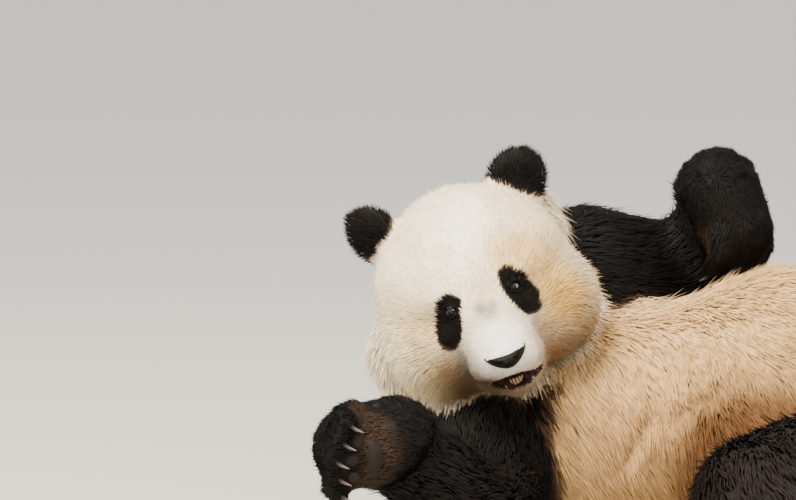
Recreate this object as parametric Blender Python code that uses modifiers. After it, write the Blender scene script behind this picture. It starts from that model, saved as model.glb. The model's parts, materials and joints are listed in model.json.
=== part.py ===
"""Giant panda, a still life-size model: it lies on its back, rolled a little
onto its right side, with the head raised and tilted, the right forearm bent
below the chin, and the left forearm raised with its paw hanging over the flank.

Units are metres, +Z up. The origin is on the flat under the middle of the
trunk, where the animal rests. +X runs from the head to the rump, and -Y is
the side that the belly and the face turn to.

Every part of flesh is a "form": balls and tapered limbs at named joints,
merged by a voxel remesh, smoothed and thinned. Neighbours are then cut back
from each other so that they meet with a hairline gap.
"""

import math

import bmesh
import bpy
from mathutils import Matrix, Vector

# ---------------------------------------------------------------- dimensions

GAP = 0.00060  # clearance left where two parts meet
FLOOR_BOX = 4.0  # side of the block that cuts the resting flats at z = 0

HEAD_AT = Vector((-0.396, -0.060, 0.345))  # eye level, mid-depth of the skull
FACE_RISE = math.radians(8)  # the face turns up from -Y by this much
HEAD_NOD = math.radians(12)  # and nods down from there, about its own ears' line
HEAD_ROLL = math.radians(21.7)  # the crown leans towards -X

# Joints. "right" and "left" are the animal's own sides: it faces -Y, so its
# right side is the lower, nearer one.
SHOULDER = {
    "right": Vector((-0.415, -0.005, 0.141)),
    "left": Vector((-0.250, 0.195, 0.335)),
}
ELBOW = {
    "right": Vector((-0.385, -0.215, 0.068)),
    "left": Vector((-0.070, 0.265, 0.300)),
}
WRIST = {
    "right": Vector((-0.508, -0.315, 0.200)),
    "left": Vector((-0.068, 0.150, 0.458)),
}
HIP = {
    "right": Vector((0.130, -0.225, 0.122)),
    "left": Vector((0.250, -0.040, 0.235)),
}
KNEE = {
    "right": Vector((-0.072, -0.440, 0.148)),
    "left": Vector((0.170, 0.170, 0.355)),
}
ANKLE = {
    "right": Vector((0.110, -0.560, 0.074)),
    "left": Vector((0.320, 0.270, 0.250)),
}

# Spine from the withers to the rump: centre and radii (along the trunk,
# across it, and from back to belly).
CHEST_AT, CHEST_R = Vector((-0.235, 0.075, 0.158)), (0.190, 0.185, 0.160)
BELLY_AT, BELLY_R = Vector((0.025, -0.020, 0.182)), (0.225, 0.215, 0.198)
PELVIS_AT, PELVIS_R = Vector((0.195, -0.120, 0.170)), (0.180, 0.190, 0.180)
RUMP_AT, RUMP_R = Vector((0.285, -0.165, 0.150)), (0.135, 0.155, 0.145)
TAIL_ROOT, TAIL_TIP = Vector((0.380, -0.213, 0.088)), Vector((0.452, -0.247, 0.052))

# On the head's own axes: forward, left, up.
EYE_AT, EYE_R = (0.1035, 0.0430, 0.0200), 0.0098
MOUTH_AT, MOUTH_R = (0.128, 0.004, -0.0870), (0.046, 0.034, 0.0078)
MOUTH_TILT = 4  # degrees that the opening drops towards its corners
TEETH_AT = (0.1060, 0.0, -0.1030)  # centre of the row's arc, at the roots
TEETH, TEETH_ARC, TEETH_ARC_R = 8, math.radians(66), (0.0150, 0.0185)
INCISOR, CANINE = (0.013, 0.0022, 0.0017), (0.017, 0.0029, 0.0010)  # height, root and tip radii
EAR_R, EAR_THICK = 0.0425, 0.017
EAR_AT, EAR_LEAN = (-0.038, 0.1015, 0.120), 0.66  # on the head; radians outwards from upright
EAR_SPLAY = {1: 0.15, -1: 0.75}  # how far each ear's face turns outwards

TOE_SPREAD = (-2, -1, 0, 1, 2)
TOE_PITCH, TOE_BONE = 0.0215, 0.026  # between toes, and from joint to joint
TOE_R = (0.0195, 0.0185, 0.0150)  # at a toe's three joints
CLAW_LEN, CLAW_R, CLAW_TIP = 0.026, 0.0038, 0.14  # the tip's share of the root's radius
CLAW_BEND, CLAW_JOINTS, CLAW_OUT = 0.9, 3, 0.006  # radians of hook, points, start past the toe

# What each form is merged and thinned with: voxel, smoothing passes, triangles, finish.
FORMS = {
    "head": (0.0060, 6, 1000, "cream_fur"),
    "lower_jaw": (0.0050, 4, 190, "cream_fur"),
    "nose": (0.0020, 3, 130, "nose_leather"),
    "neck": (0.0100, 6, 190, "cream_fur"),
    "trunk": (0.0120, 24, 720, "cream_fur"),
    "tail": (0.0070, 4, 76, "cream_fur"),
    "ear": (0.0040, 4, 110, "black_fur"),
    "foreleg": (0.0080, 8, 200, "black_fur"),
    "hindleg": (0.0090, 8, 200, "brown_fur"),
    "paw": (0.0045, 4, 270, "black_fur"),
}

# ------------------------------------------------------------------ materials

COLOURS = {
    "cream_fur": ((0.80, 0.66, 0.47), 0.9),
    "black_fur": ((0.020, 0.016, 0.014), 0.85),
    "brown_fur": ((0.050, 0.035, 0.026), 0.85),
    "nose_leather": ((0.018, 0.014, 0.012), 0.45),
    "eye": ((0.010, 0.007, 0.005), 0.08),
    "claw_horn": ((0.22, 0.17, 0.12), 0.4),
}


def material(slot):
    """The Principled material of a slot, made once."""
    found = bpy.data.materials.get(slot)
    if found:
        return found
    made = bpy.data.materials.new(slot)
    made.use_nodes = True
    colour, roughness = COLOURS[slot]
    shader = made.node_tree.nodes["Principled BSDF"]
    shader.inputs["Base Color"].default_value = (*colour, 1.0)
    shader.inputs["Roughness"].default_value = roughness
    made.diffuse_color = (*colour, 1.0)
    return made


# -------------------------------------------------------------------- helpers


def clear_scene():
    for obj in list(bpy.data.objects):
        bpy.data.objects.remove(obj)


def collection(name):
    made = bpy.data.collections.new(name)
    bpy.context.scene.collection.children.link(made)
    return made


def axes(forward, up):
    """A rotation whose local X is forward and whose local Z is close to up."""
    x = Vector(forward).normalized()
    y = Vector(up).cross(x).normalized()
    z = x.cross(y)
    return Matrix((x, y, z)).transposed().to_4x4()


def ball(bm, centre, radii, turn=None):
    """Adds an ellipsoid: radii along the local axes of turn."""
    if isinstance(radii, float):
        radii = (radii, radii, radii)
    place = Matrix.Translation(centre) @ (turn or Matrix.Identity(4)) @ Matrix.Diagonal((*radii, 1))
    bmesh.ops.create_uvsphere(bm, u_segments=24, v_segments=14, radius=1.0, matrix=place)


def limb(bm, start, end, r_start, r_end):
    """Adds a tapered limb segment with round ends."""
    along = end - start
    turn = along.to_track_quat("Z", "Y").to_matrix().to_4x4()
    place = Matrix.Translation((start + end) / 2) @ turn
    bmesh.ops.create_cone(
        bm,
        cap_ends=True,
        segments=24,
        radius1=r_start,
        radius2=r_end,
        depth=along.length,
        matrix=place,
    )
    ball(bm, start, r_start)
    ball(bm, end, r_end)


def chain(bm, stations):
    """Tapered segments through (point, radius) stations."""
    for (a, ra), (b, rb) in zip(stations, stations[1:]):
        limb(bm, a, b, ra, rb)


def add_modifier(obj, kind, **settings):
    made = obj.modifiers.new(kind.title(), kind)
    for key, value in settings.items():
        setattr(made, key, value)
    return made


def baked(obj):
    """Replaces the object's mesh with its evaluated one."""
    graph = bpy.context.evaluated_depsgraph_get()
    graph.update()
    mesh = bpy.data.meshes.new_from_object(obj.evaluated_get(graph))
    obj.modifiers.clear()
    obj.data = mesh
    return obj


def form(name, kind, build, into):
    """A closed body of flesh: build() adds overlapping balls and limbs, which
    are merged by a voxel remesh, smoothed and thinned."""
    voxel, smooth, triangles, slot = FORMS[kind]
    bm = bmesh.new()
    build(bm)
    mesh = bpy.data.meshes.new(name)
    bm.to_mesh(mesh)
    bm.free()
    obj = bpy.data.objects.new(name, mesh)
    into.objects.link(obj)
    add_modifier(obj, "REMESH", mode="VOXEL", voxel_size=voxel)
    add_modifier(obj, "SMOOTH", factor=0.5, iterations=smooth)
    baked(obj)
    obj.data.calc_loop_triangles()
    share = triangles / len(obj.data.loop_triangles)
    add_modifier(obj, "DECIMATE", ratio=min(1.0, share), use_collapse_triangulate=True)
    baked(obj)
    obj.data.materials.clear()
    obj.data.materials.append(material(slot))
    return obj


def swollen(obj, by, into):
    """A hidden copy of obj, grown by the clearance, to cut a neighbour with. The
    union with obj keeps it outside obj where a sharp fold turns the growth inwards."""
    cutter = bpy.data.objects.new("cutter_" + obj.name, obj.data.copy())
    into.objects.link(cutter)
    add_modifier(cutter, "DISPLACE", strength=by, mid_level=0.0)
    baked(cutter)
    add_modifier(cutter, "BOOLEAN", operation="UNION", object=obj)
    baked(cutter)
    cutter.hide_render = True
    cutter.display_type = "WIRE"
    return cutter


def cut(obj, cutters):
    """Cuts obj back from each cutter in turn, and drops the slivers left."""
    for cutter in cutters:
        add_modifier(obj, "BOOLEAN", operation="DIFFERENCE", object=cutter)
        baked(obj)
    if cutters:
        keep_largest(obj)


def keep_largest(obj):
    """Keeps the one body that has the most surface."""
    bm = bmesh.new()
    bm.from_mesh(obj.data)
    left, bodies = set(bm.faces), []
    while left:
        body, edge = set(), {next(iter(left))}
        while edge:
            body |= edge
            edge = {g for f in edge for e in f.edges for g in e.link_faces} - body
        left -= body
        bodies.append(body)
    largest = max(bodies, key=lambda body: sum(f.calc_area() for f in body))
    spare = [f for f in bm.faces if f not in largest]
    bmesh.ops.delete(bm, geom=spare, context="FACES")
    bm.to_mesh(obj.data)
    bm.free()


def boxes_meet(a, b):
    """Whether two objects' bounding boxes overlap."""
    (a_low, a_high), (b_low, b_high) = (
        [Vector(f(v.co[i] for v in o.data.vertices) for i in range(3)) for f in (min, max)]
        for o in (a, b)
    )
    return all(a_low[i] <= b_high[i] and b_low[i] <= a_high[i] for i in range(3))


def block(name, low, high, into):
    """A hidden box, as a cutter."""
    bm = bmesh.new()
    size = Vector(high) - Vector(low)
    place = Matrix.Translation((Vector(high) + Vector(low)) / 2) @ Matrix.Diagonal((*size, 1))
    bmesh.ops.create_cube(bm, size=1.0, matrix=place)
    return hidden(name, bm, into)


def hidden(name, bm, into):
    """Makes a bmesh an object that only serves as another's tool."""
    mesh = bpy.data.meshes.new(name)
    bm.to_mesh(mesh)
    bm.free()
    obj = bpy.data.objects.new(name, mesh)
    into.objects.link(obj)
    obj.hide_render = True
    obj.display_type = "WIRE"
    return obj


# ----------------------------------------------------------------------- head

# The head's own axes: local X is forward (to the nose), Y is the animal's
# left, and Z is up through the crown.
FACING = Vector((0, -math.cos(FACE_RISE), math.sin(FACE_RISE)))
HEAD_TURN = (
    Matrix.Rotation(HEAD_ROLL, 4, FACING)
    @ Matrix.Rotation(HEAD_NOD, 4, "X")
    @ axes(FACING, Vector((0, 0, 1)))
)


def on_head(forward, left, up):
    """A point given in metres on the head's own axes."""
    return HEAD_AT + HEAD_TURN.to_3x3() @ Vector((forward, left, up))


def head_ball(bm, at, radii, pitch=0.0):
    turn = HEAD_TURN @ Matrix.Rotation(math.radians(pitch), 4, "Y")
    ball(bm, on_head(*at), radii, turn)


def skull(bm):
    """Cranium, crown, cheeks, brows and muzzle."""
    head_ball(bm, (-0.025, 0, 0.018), (0.140, 0.120, 0.128))
    for side in (-1, 1):
        head_ball(bm, (-0.020, side * 0.055, 0.022), (0.110, 0.078, 0.092))  # temple
        head_ball(bm, (0.000, side * 0.074, -0.036), (0.098, 0.078, 0.080))  # cheek
        head_ball(bm, (0.070, side * 0.040, 0.030), (0.040, 0.036, 0.032))  # brow
        head_ball(bm, (0.118, side * 0.022, -0.061), (0.044, 0.030, 0.028))  # lip pad
    head_ball(bm, (0.062, 0, -0.012), (0.070, 0.072, 0.062))  # root of the muzzle
    head_ball(bm, (0.105, 0, -0.043), (0.058, 0.049, 0.042), pitch=18)  # muzzle
    head_ball(bm, (0.140, 0, -0.051), (0.030, 0.036, 0.027))  # its blunt end


def jaw(bm):
    """The lower jaw, dropped a little so that the mouth stands open."""
    chain(
        bm,
        [
            (on_head(-0.010, 0, -0.072), 0.052),
            (on_head(0.070, 0, -0.086), 0.036),
            (on_head(0.116, 0, -0.092), 0.024),
        ],
    )
    for side in (-1, 1):
        chain(
            bm,
            [
                (on_head(0.000, side * 0.040, -0.070), 0.040),
                (on_head(0.090, side * 0.016, -0.089), 0.025),
            ],
        )


def mouth_gap(into):
    """A hidden cutter: the flat hollow between the upper lip and the jaw."""
    bm = bmesh.new()
    turn = HEAD_TURN @ Matrix.Rotation(math.radians(MOUTH_TILT), 4, "Y")
    place = Matrix.Translation(on_head(*MOUTH_AT)) @ turn @ Matrix.Diagonal((*MOUTH_R, 1))
    bmesh.ops.create_uvsphere(bm, u_segments=14, v_segments=8, radius=1.0, matrix=place)
    return hidden("cutter_mouth", bm, into)


def teeth(into):
    """The lower front teeth, as one hidden body: six incisors between two canines."""
    bm = bmesh.new()
    for i in range(TEETH):
        angle = TEETH_ARC * (2 * i / (TEETH - 1) - 1)
        height, root_r, tip_r = CANINE if i in (0, TEETH - 1) else INCISOR
        forward = TEETH_AT[0] + TEETH_ARC_R[0] * math.cos(angle)
        left = TEETH_AT[1] + TEETH_ARC_R[1] * math.sin(angle)
        middle = on_head(forward, left, TEETH_AT[2] + height / 2)
        bmesh.ops.create_cone(
            bm,
            cap_ends=True,
            segments=6,
            radius1=root_r,
            radius2=tip_r,
            depth=height,
            matrix=Matrix.Translation(middle) @ HEAD_TURN,
        )
    return hidden("cutter_teeth", bm, into)


def nose_pad(bm):
    """The leathery nose: broad above, narrowing to the lip."""
    head_ball(bm, (0.164, 0, -0.041), (0.012, 0.031, 0.010), pitch=20)
    head_ball(bm, (0.165, 0, -0.051), (0.011, 0.018, 0.011))


def ear(bm, side):
    """A thick round leaf that stands up and out from the crown."""
    forward, left, up = EAR_AT
    at = on_head(forward, side * left, up)
    outward = HEAD_TURN.to_3x3() @ Vector((0, side * math.sin(EAR_LEAN), math.cos(EAR_LEAN)))
    facing = HEAD_TURN.to_3x3() @ Vector((0.94, side * EAR_SPLAY[side], -0.10))
    turn = axes(facing, outward)
    ball(bm, at, (EAR_THICK, EAR_R, EAR_R * 0.98), turn)
    ball(bm, at - outward * EAR_R * 0.62, (EAR_THICK * 1.25, EAR_R * 0.80, EAR_R * 0.60), turn)


def eye_at(side):
    forward, left, up = EYE_AT
    return on_head(forward, side * left, up)


# --------------------------------------------------------------- neck, trunk


def neck(bm):
    shoulders = (SHOULDER["left"] + SHOULDER["right"]) / 2
    nape = on_head(-0.080, -0.025, -0.005)
    chain(bm, [(nape, 0.120), ((nape + shoulders) / 2, 0.130), (shoulders, 0.132)])
    ball(bm, on_head(-0.035, -0.094, -0.048), 0.084)  # the ruff, under the lower cheek
    ball(bm, on_head(-0.090, 0.074, 0.045), 0.078)  # and behind the upper ear


def trunk(bm):
    """Barrel of the chest, belly, pelvis and rump, lying on the back."""
    belly_up = Vector((-0.15, -0.45, 0.88))
    stations = [
        (CHEST_AT, CHEST_R, BELLY_AT - CHEST_AT),
        (BELLY_AT, BELLY_R, PELVIS_AT - CHEST_AT),
        (PELVIS_AT, PELVIS_R, RUMP_AT - BELLY_AT),
        (RUMP_AT, RUMP_R, RUMP_AT - PELVIS_AT),
    ]
    for centre, radii, along in stations:
        ball(bm, centre, radii, axes(along, belly_up))
    waist = CHEST_AT.lerp(BELLY_AT, 0.5)
    chain(bm, [(CHEST_AT, 0.150), (waist, 0.163), (BELLY_AT, 0.184), (PELVIS_AT, 0.172)])
    for side in ("right", "left"):
        ball(bm, SHOULDER[side].lerp(CHEST_AT, 0.5), 0.100)
        ball(bm, HIP[side].lerp(PELVIS_AT, 0.30), 0.125)


def tail(bm):
    chain(bm, [(TAIL_ROOT, 0.048), (TAIL_ROOT.lerp(TAIL_TIP, 0.5), 0.046), (TAIL_TIP, 0.032)])


# ----------------------------------------------------------------------- legs


def foreleg(bm, side):
    """Upper arm with its shoulder muscle, and the thick forearm."""
    chain(
        bm,
        [
            (SHOULDER[side], 0.105),
            (SHOULDER[side].lerp(ELBOW[side], 0.5), 0.094),
            (ELBOW[side], 0.078),
            (ELBOW[side].lerp(WRIST[side], 0.45), 0.072),
            (WRIST[side], 0.055),
        ],
    )


def hindleg(bm, side):
    """Heavy thigh, knee and shank."""
    chain(
        bm,
        [
            (HIP[side], 0.128),
            (HIP[side].lerp(KNEE[side], 0.5), 0.118),
            (KNEE[side], 0.090),
            (KNEE[side].lerp(ANKLE[side], 0.45), 0.078),
            (ANKLE[side], 0.057),
        ],
    )


# Each paw has its own axes: X along the paw to the toes, Z out of its back
# (opposite the pads), Y across it.
PAWS = {
    "forepaw_right": {
        "at": WRIST["right"],
        "along": Vector((-0.80, -0.55, 0.02)),
        "back": Vector((-0.55, 0.78, 0.20)),
        "curl": 52,
        "fore": True,
    },
    "forepaw_left": {
        "at": WRIST["left"],
        "along": Vector((0.38, -0.36, -0.85)),
        "back": Vector((0.60, -0.60, 0.52)),
        "curl": 44,
        "fore": True,
    },
    "hindpaw_right": {
        "at": ANKLE["right"],
        "along": Vector((0.45, -0.62, 0.34)),
        "back": Vector((-0.50, -0.10, 0.85)),
        "curl": 20,
        "fore": False,
    },
    "hindpaw_left": {
        "at": ANKLE["left"],
        "along": Vector((0.55, 0.20, 0.78)),
        "back": Vector((-0.80, 0.10, 0.50)),
        "curl": 24,
        "fore": False,
    },
}


def paw_frame(paw):
    turn = axes(paw["along"], paw["back"]).to_3x3()
    return lambda x, y, z: paw["at"] + turn @ Vector((x, y, z))


def toe_line(paw, toe):
    """Three joints of one toe, bent towards the pads."""
    point = paw_frame(paw)
    reach = 0.078 if paw["fore"] else 0.092
    root = (reach - 0.007 * abs(toe), TOE_PITCH * toe, 0.004)
    curl = math.radians(paw["curl"])
    half, full = TOE_BONE * Vector((math.cos(curl / 2), 0, -math.sin(curl / 2))), 1.4 * curl
    mid = (root[0] + half.x, root[1] * 1.06, root[2] + half.z)
    tip = (mid[0] + TOE_BONE * math.cos(full), mid[1], mid[2] - TOE_BONE * math.sin(full))
    return [point(*root), point(*mid), point(*tip)]


def paw_flesh(bm, paw):
    """Wrist or heel, the broad palm, the toes and the pad below."""
    point = paw_frame(paw)
    turn = axes(paw["along"], paw["back"])
    length = 0.062 if paw["fore"] else 0.074
    limb(bm, paw["at"], point(length, 0, 0), 0.060, 0.052)
    ball(bm, point(length, 0, 0.002), (0.044, 0.058, 0.036), turn)
    ball(bm, point(length * 0.75, 0, -0.016), (0.050, 0.048, 0.030), turn)
    for toe in TOE_SPREAD:
        chain(bm, list(zip(toe_line(paw, toe), TOE_R)))


def claw(name, paw, toe, into):
    """A tapering hooked claw that grows from the toe's last joint."""
    _, mid, tip = toe_line(paw, toe)
    along = (tip - mid).normalized()
    down = -(axes(paw["along"], paw["back"]).to_3x3() @ Vector((0, 0, 1)))
    down = (down - along * down.dot(along)).normalized()
    curve = bpy.data.curves.new(name, "CURVE")
    curve.dimensions = "3D"
    curve.bevel_depth = CLAW_R
    curve.bevel_resolution = 1
    curve.use_fill_caps = True
    spline = curve.splines.new("POLY")
    spline.points.add(CLAW_JOINTS - 1)
    for i in range(CLAW_JOINTS):
        share = i / (CLAW_JOINTS - 1)
        bend = CLAW_BEND * share
        reach = CLAW_LEN * math.sin(bend) / CLAW_BEND
        drop = CLAW_LEN * (1 - math.cos(bend)) / CLAW_BEND
        here = tip + along * (CLAW_OUT + reach) + down * drop
        spline.points[i].co = (*here, 1)
        spline.points[i].radius = 1.0 - (1.0 - CLAW_TIP) * share**1.4
    obj = bpy.data.objects.new(name, curve)
    into.objects.link(obj)
    graph = bpy.context.evaluated_depsgraph_get()
    graph.update()
    mesh = bpy.data.meshes.new_from_object(obj.evaluated_get(graph))
    bpy.data.objects.remove(obj)
    bm = bmesh.new()
    bm.from_mesh(mesh)
    bmesh.ops.remove_doubles(bm, verts=bm.verts, dist=0.00005)
    bmesh.ops.recalc_face_normals(bm, faces=bm.faces)
    bm.to_mesh(mesh)
    bm.free()
    mesh.materials.clear()
    mesh.materials.append(material("claw_horn"))
    made = bpy.data.objects.new(name, mesh)
    into.objects.link(made)
    return made


# ------------------------------------------------------------------- assembly


def eyeball(name, side, into):
    bm = bmesh.new()
    bmesh.ops.create_uvsphere(
        bm,
        u_segments=12,
        v_segments=7,
        radius=EYE_R,
        matrix=Matrix.Translation(eye_at(side)),
    )
    mesh = bpy.data.meshes.new(name)
    bm.to_mesh(mesh)
    bm.free()
    mesh.shade_smooth()
    mesh.materials.append(material("eye"))
    obj = bpy.data.objects.new(name, mesh)
    into.objects.link(obj)
    return obj


def main():
    clear_scene()
    animal = collection("giant_panda")
    tools = collection("cutters")

    def flesh(name, kind, build):
        return form(name, kind, build, animal)

    parts = {
        "head": flesh("head", "head", skull),
        "lower_jaw": flesh("lower_jaw", "lower_jaw", jaw),
        "nose": flesh("nose", "nose", nose_pad),
        "neck": flesh("neck", "neck", neck),
        "trunk": flesh("trunk", "trunk", trunk),
        "tail": flesh("tail", "tail", tail),
    }
    for side, sign in (("left", 1), ("right", -1)):
        parts["eye_" + side] = eyeball("eye_" + side, sign, animal)
        paired = (("ear", ear, sign), ("foreleg", foreleg, side), ("hindleg", hindleg, side))
        for kind, build, which in paired:
            name = f"{kind}_{side}"
            parts[name] = flesh(name, kind, lambda bm, f=build, w=which: f(bm, w))
    claws = {}
    for name, paw in PAWS.items():
        parts[name] = flesh(name, "paw", lambda bm, p=paw: paw_flesh(bm, p))
        claws[name] = [
            claw(f"claw_{name}_{i + 1}", paw, toe, animal) for i, toe in enumerate(TOE_SPREAD)
        ]

    # The mouth stands open between the head and the jaw, with the teeth on the jaw.
    gap = mouth_gap(tools)
    cut(parts["head"], [gap])
    cut(parts["lower_jaw"], [gap])
    add_modifier(parts["lower_jaw"], "BOOLEAN", operation="UNION", object=teeth(tools))
    baked(parts["lower_jaw"])

    # Each part is cut back from those before it that it overlaps.
    order = [
        ["eye_left", "eye_right", "nose", "ear_left", "ear_right"],
        ["forepaw_left", "forepaw_right", "hindpaw_left", "hindpaw_right"],
        ["foreleg_left"],
        ["head"],
        ["lower_jaw"],
        ["foreleg_right", "hindleg_left"],
        ["hindleg_right"],
        ["neck"],
        ["trunk"],
        ["tail"],
    ]
    floor = block(
        "cutter_floor",
        (-FLOOR_BOX / 2, -FLOOR_BOX / 2, -1.0),
        (FLOOR_BOX / 2, FLOOR_BOX / 2, 0.0),
        tools,
    )
    parts.update((c.name, c) for group in claws.values() for c in group)
    order.insert(0, [c.name for group in claws.values() for c in group])
    whole = {name: swollen(obj, GAP, tools) for name, obj in parts.items()}
    done = []
    for group in order:
        for name in group:
            obj = parts[name]
            cutters = [whole[other] for other in done if boxes_meet(obj, whole[other])]
            if boxes_meet(obj, floor):
                cutters.append(floor)
            cut(obj, cutters)
        done += group


main()
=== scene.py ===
# %% [markdown]
# # A giant panda at rest, as a life-size museum model
# A museum panda is a rigid body form with a skin drawn over it, glass eyes, real claws and a coat
# that lies along the body. The form is the frame that is loaded here. Every step below adds one of
# the layers that a taxidermist would add: skin, lie of the coat, markings, fur, eyes, nose, mouth,
# claws and pads, and last the light and the camera.
# %% Load the fixed frame
import itertools
import json
import math

import bpy
import numpy as np
from mathutils import Matrix, Vector
from mathutils.bvhtree import BVHTree
from mathutils.kdtree import KDTree

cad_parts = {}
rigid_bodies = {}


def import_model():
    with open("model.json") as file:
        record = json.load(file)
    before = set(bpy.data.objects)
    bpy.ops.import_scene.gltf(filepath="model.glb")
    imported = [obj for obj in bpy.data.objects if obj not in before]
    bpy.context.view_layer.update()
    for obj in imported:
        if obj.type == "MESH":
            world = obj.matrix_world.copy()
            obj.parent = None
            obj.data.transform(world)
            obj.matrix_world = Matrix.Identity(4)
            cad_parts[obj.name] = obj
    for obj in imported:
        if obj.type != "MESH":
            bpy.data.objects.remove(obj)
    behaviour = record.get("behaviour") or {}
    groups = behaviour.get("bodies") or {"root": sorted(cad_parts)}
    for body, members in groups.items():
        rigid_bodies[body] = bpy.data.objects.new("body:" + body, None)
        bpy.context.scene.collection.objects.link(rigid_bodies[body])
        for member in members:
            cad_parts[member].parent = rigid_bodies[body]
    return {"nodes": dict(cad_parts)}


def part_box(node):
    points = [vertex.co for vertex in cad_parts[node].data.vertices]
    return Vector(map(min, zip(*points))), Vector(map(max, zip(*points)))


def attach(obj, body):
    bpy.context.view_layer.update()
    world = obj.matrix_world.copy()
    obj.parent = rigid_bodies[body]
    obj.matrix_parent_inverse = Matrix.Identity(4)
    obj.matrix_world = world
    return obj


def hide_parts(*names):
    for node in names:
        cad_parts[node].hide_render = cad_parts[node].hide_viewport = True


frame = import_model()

MM = 0.001
SIGNS = {"left": 1, "right": -1}
SIDES = tuple(SIGNS)
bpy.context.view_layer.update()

# %% [markdown]
# ## Where the head looks
# The head is turned and rolled, so its features are placed in its own directions: forward, to the
# animal's left, and up. The two eyes of the form give the left direction, and the ears give the rest:
# the middle of the ears lies 34 degrees above straight back from the middle of the eyes.
# %% Head directions
EAR_LINE = math.radians(34.17)
EYES_FORWARD, EYES_UP = 0.1035, 0.0200


def middle(node):
    low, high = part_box(node)
    return (low + high) / 2


eyes_middle = (middle("eye_left") + middle("eye_right")) / 2
head_left = (middle("eye_left") - middle("eye_right")).normalized()
to_ears = (middle("ear_left") + middle("ear_right")) / 2 - eyes_middle
to_ears -= head_left * to_ears.dot(head_left)
head_forward = Matrix.Rotation(math.pi - EAR_LINE, 3, head_left) @ to_ears.normalized()
head_up = head_forward.cross(head_left)
head_at = eyes_middle - EYES_FORWARD * head_forward - EYES_UP * head_up
head_axes = np.array([head_forward, head_left, head_up])


def on_head(points):
    """Forward, left and up of points in the world, seen from the middle of the head."""
    return (np.asarray(points) - np.array(head_at)) @ head_axes.T


def from_head(places):
    """The points in the world at places forward, left and up from the middle of the head."""
    return np.array(head_at) + np.asarray(places) @ head_axes


print("nose on the head:", np.round(on_head([middle("nose")]), 3))

# %% [markdown]
# ## Small helpers
# Blender's operators act on what is selected, so `only` selects just the objects it is given. Copied
# and reshaped meshes can have doubled points and faces that look inwards, so `face_outwards` puts
# both right. A mesh is read and written as whole arrays of points, which is quick enough for a coat
# of many thousand tufts.
# %% Helpers for objects
MERGE_WITHIN = 0.01 * MM


def only(*objects):
    bpy.ops.object.select_all(action="DESELECT")
    for each in objects:
        each.select_set(True)
    bpy.context.view_layer.objects.active = objects[0]


def apply(obj, kind, **settings):
    only(obj)
    modifier = obj.modifiers.new(kind.title(), kind)
    for name, value in settings.items():
        setattr(modifier, name, value)
    bpy.ops.object.modifier_apply(modifier=modifier.name)


def face_outwards(obj, merge=False):
    only(obj)
    bpy.ops.object.mode_set(mode="EDIT")
    bpy.ops.mesh.select_all(action="SELECT")
    if merge:
        bpy.ops.mesh.remove_doubles(threshold=MERGE_WITHIN)
    bpy.ops.mesh.normals_make_consistent(inside=False)
    bpy.ops.object.mode_set(mode="OBJECT")


def smooth(obj):
    only(obj)
    bpy.ops.object.shade_smooth()


def named(obj, name):
    obj.name = obj.data.name = name
    return obj


def sphere(name, segments, rings, radius=1.0):
    """A ball round the origin, the start of each rounded piece."""
    bpy.ops.object.select_all(action="DESELECT")
    sizes = {"segments": segments, "ring_count": rings, "radius": radius}
    bpy.ops.mesh.primitive_uv_sphere_add(**sizes, location=(0, 0, 0))
    return named(bpy.context.object, name)


def copy_form(name, *nodes):
    """A closed copy of some nodes of the form as one mesh, without their materials."""
    only(*[frame["nodes"][node] for node in nodes])
    bpy.ops.object.duplicate()
    only(*bpy.context.selected_objects)
    if len(nodes) > 1:
        bpy.ops.object.join()
    bpy.ops.object.parent_clear(type="CLEAR_KEEP_TRANSFORM")
    made = named(bpy.context.object, name)
    made.data.materials.clear()
    face_outwards(made, merge=True)
    return made


# %% Helpers for meshes
def read(items, field, width=3, kind=np.float32):
    """One field of many mesh elements, with a row of numbers for each."""
    flat = np.empty(len(items) * width, kind)
    items.foreach_get(field, flat)
    return flat.reshape(-1, width)


def points_of(obj):
    return read(obj.data.vertices, "co").astype(float)


def set_points(obj, points):
    obj.data.vertices.foreach_set("co", np.asarray(points, np.float32).ravel())
    obj.data.update()


def normals_of(obj):
    return read(obj.data.vertex_normals, "vector").astype(float)


# %% [markdown]
# Shapes and colours are worked out from distances and soft steps between values. `ramp` is a soft
# step, `mound` a soft hill, and `lumps` is smooth random noise whose lumps have a real size, for
# everything that is irregular on an animal.
# %% Helpers for shapes
NOISE_TABLE = 32


def unit(vectors):
    return vectors / np.maximum(np.linalg.norm(vectors, axis=-1, keepdims=True), 1e-9)


def along_surface(vectors, normals):
    """What is left of each vector when its part along the normal is taken away."""
    return vectors - normals * (vectors * normals).sum(axis=1)[:, None]


def distance(places, target):
    return np.linalg.norm(places - target, axis=1)


def in_box(places, low, high):
    return ((places > np.array(low)) & (places < np.array(high))).all(axis=1)


def from_line(places, start, end):
    """How far along a straight line each place is, from 0 to 1, and how far away from it."""
    line = end - start
    share = ((places - start) @ line / (line @ line)).clip(0, 1)
    return share, np.linalg.norm(places - start - share[:, None] * line, axis=1)


def ramp(values, start, end):
    """0 before start, 1 after end, with soft ends."""
    t = np.clip((values - start) / (end - start), 0, 1)
    return t * t * (3 - 2 * t)


def mound(away, reach, steepness=1.0):
    """1 where nothing is away, falling softly to almost 0 at twice the reach."""
    return np.exp(-steepness * (away / reach) ** 2)


def lumps(points, size, seed):
    """Smooth noise from -1 to 1 with lumps about `size` across."""
    table = np.random.default_rng(seed).uniform(-1, 1, (NOISE_TABLE,) * 3)
    cell, part = np.divmod(np.asarray(points) / size, 1)
    cell = cell.astype(int)
    part = part * part * (3 - 2 * part)
    total = 0
    for corner in itertools.product((0, 1), repeat=3):
        near = np.prod(np.where(corner, part, 1 - part), axis=1)
        total = total + near * table[tuple(((cell + corner) % NOISE_TABLE).T)]
    return total


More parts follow.
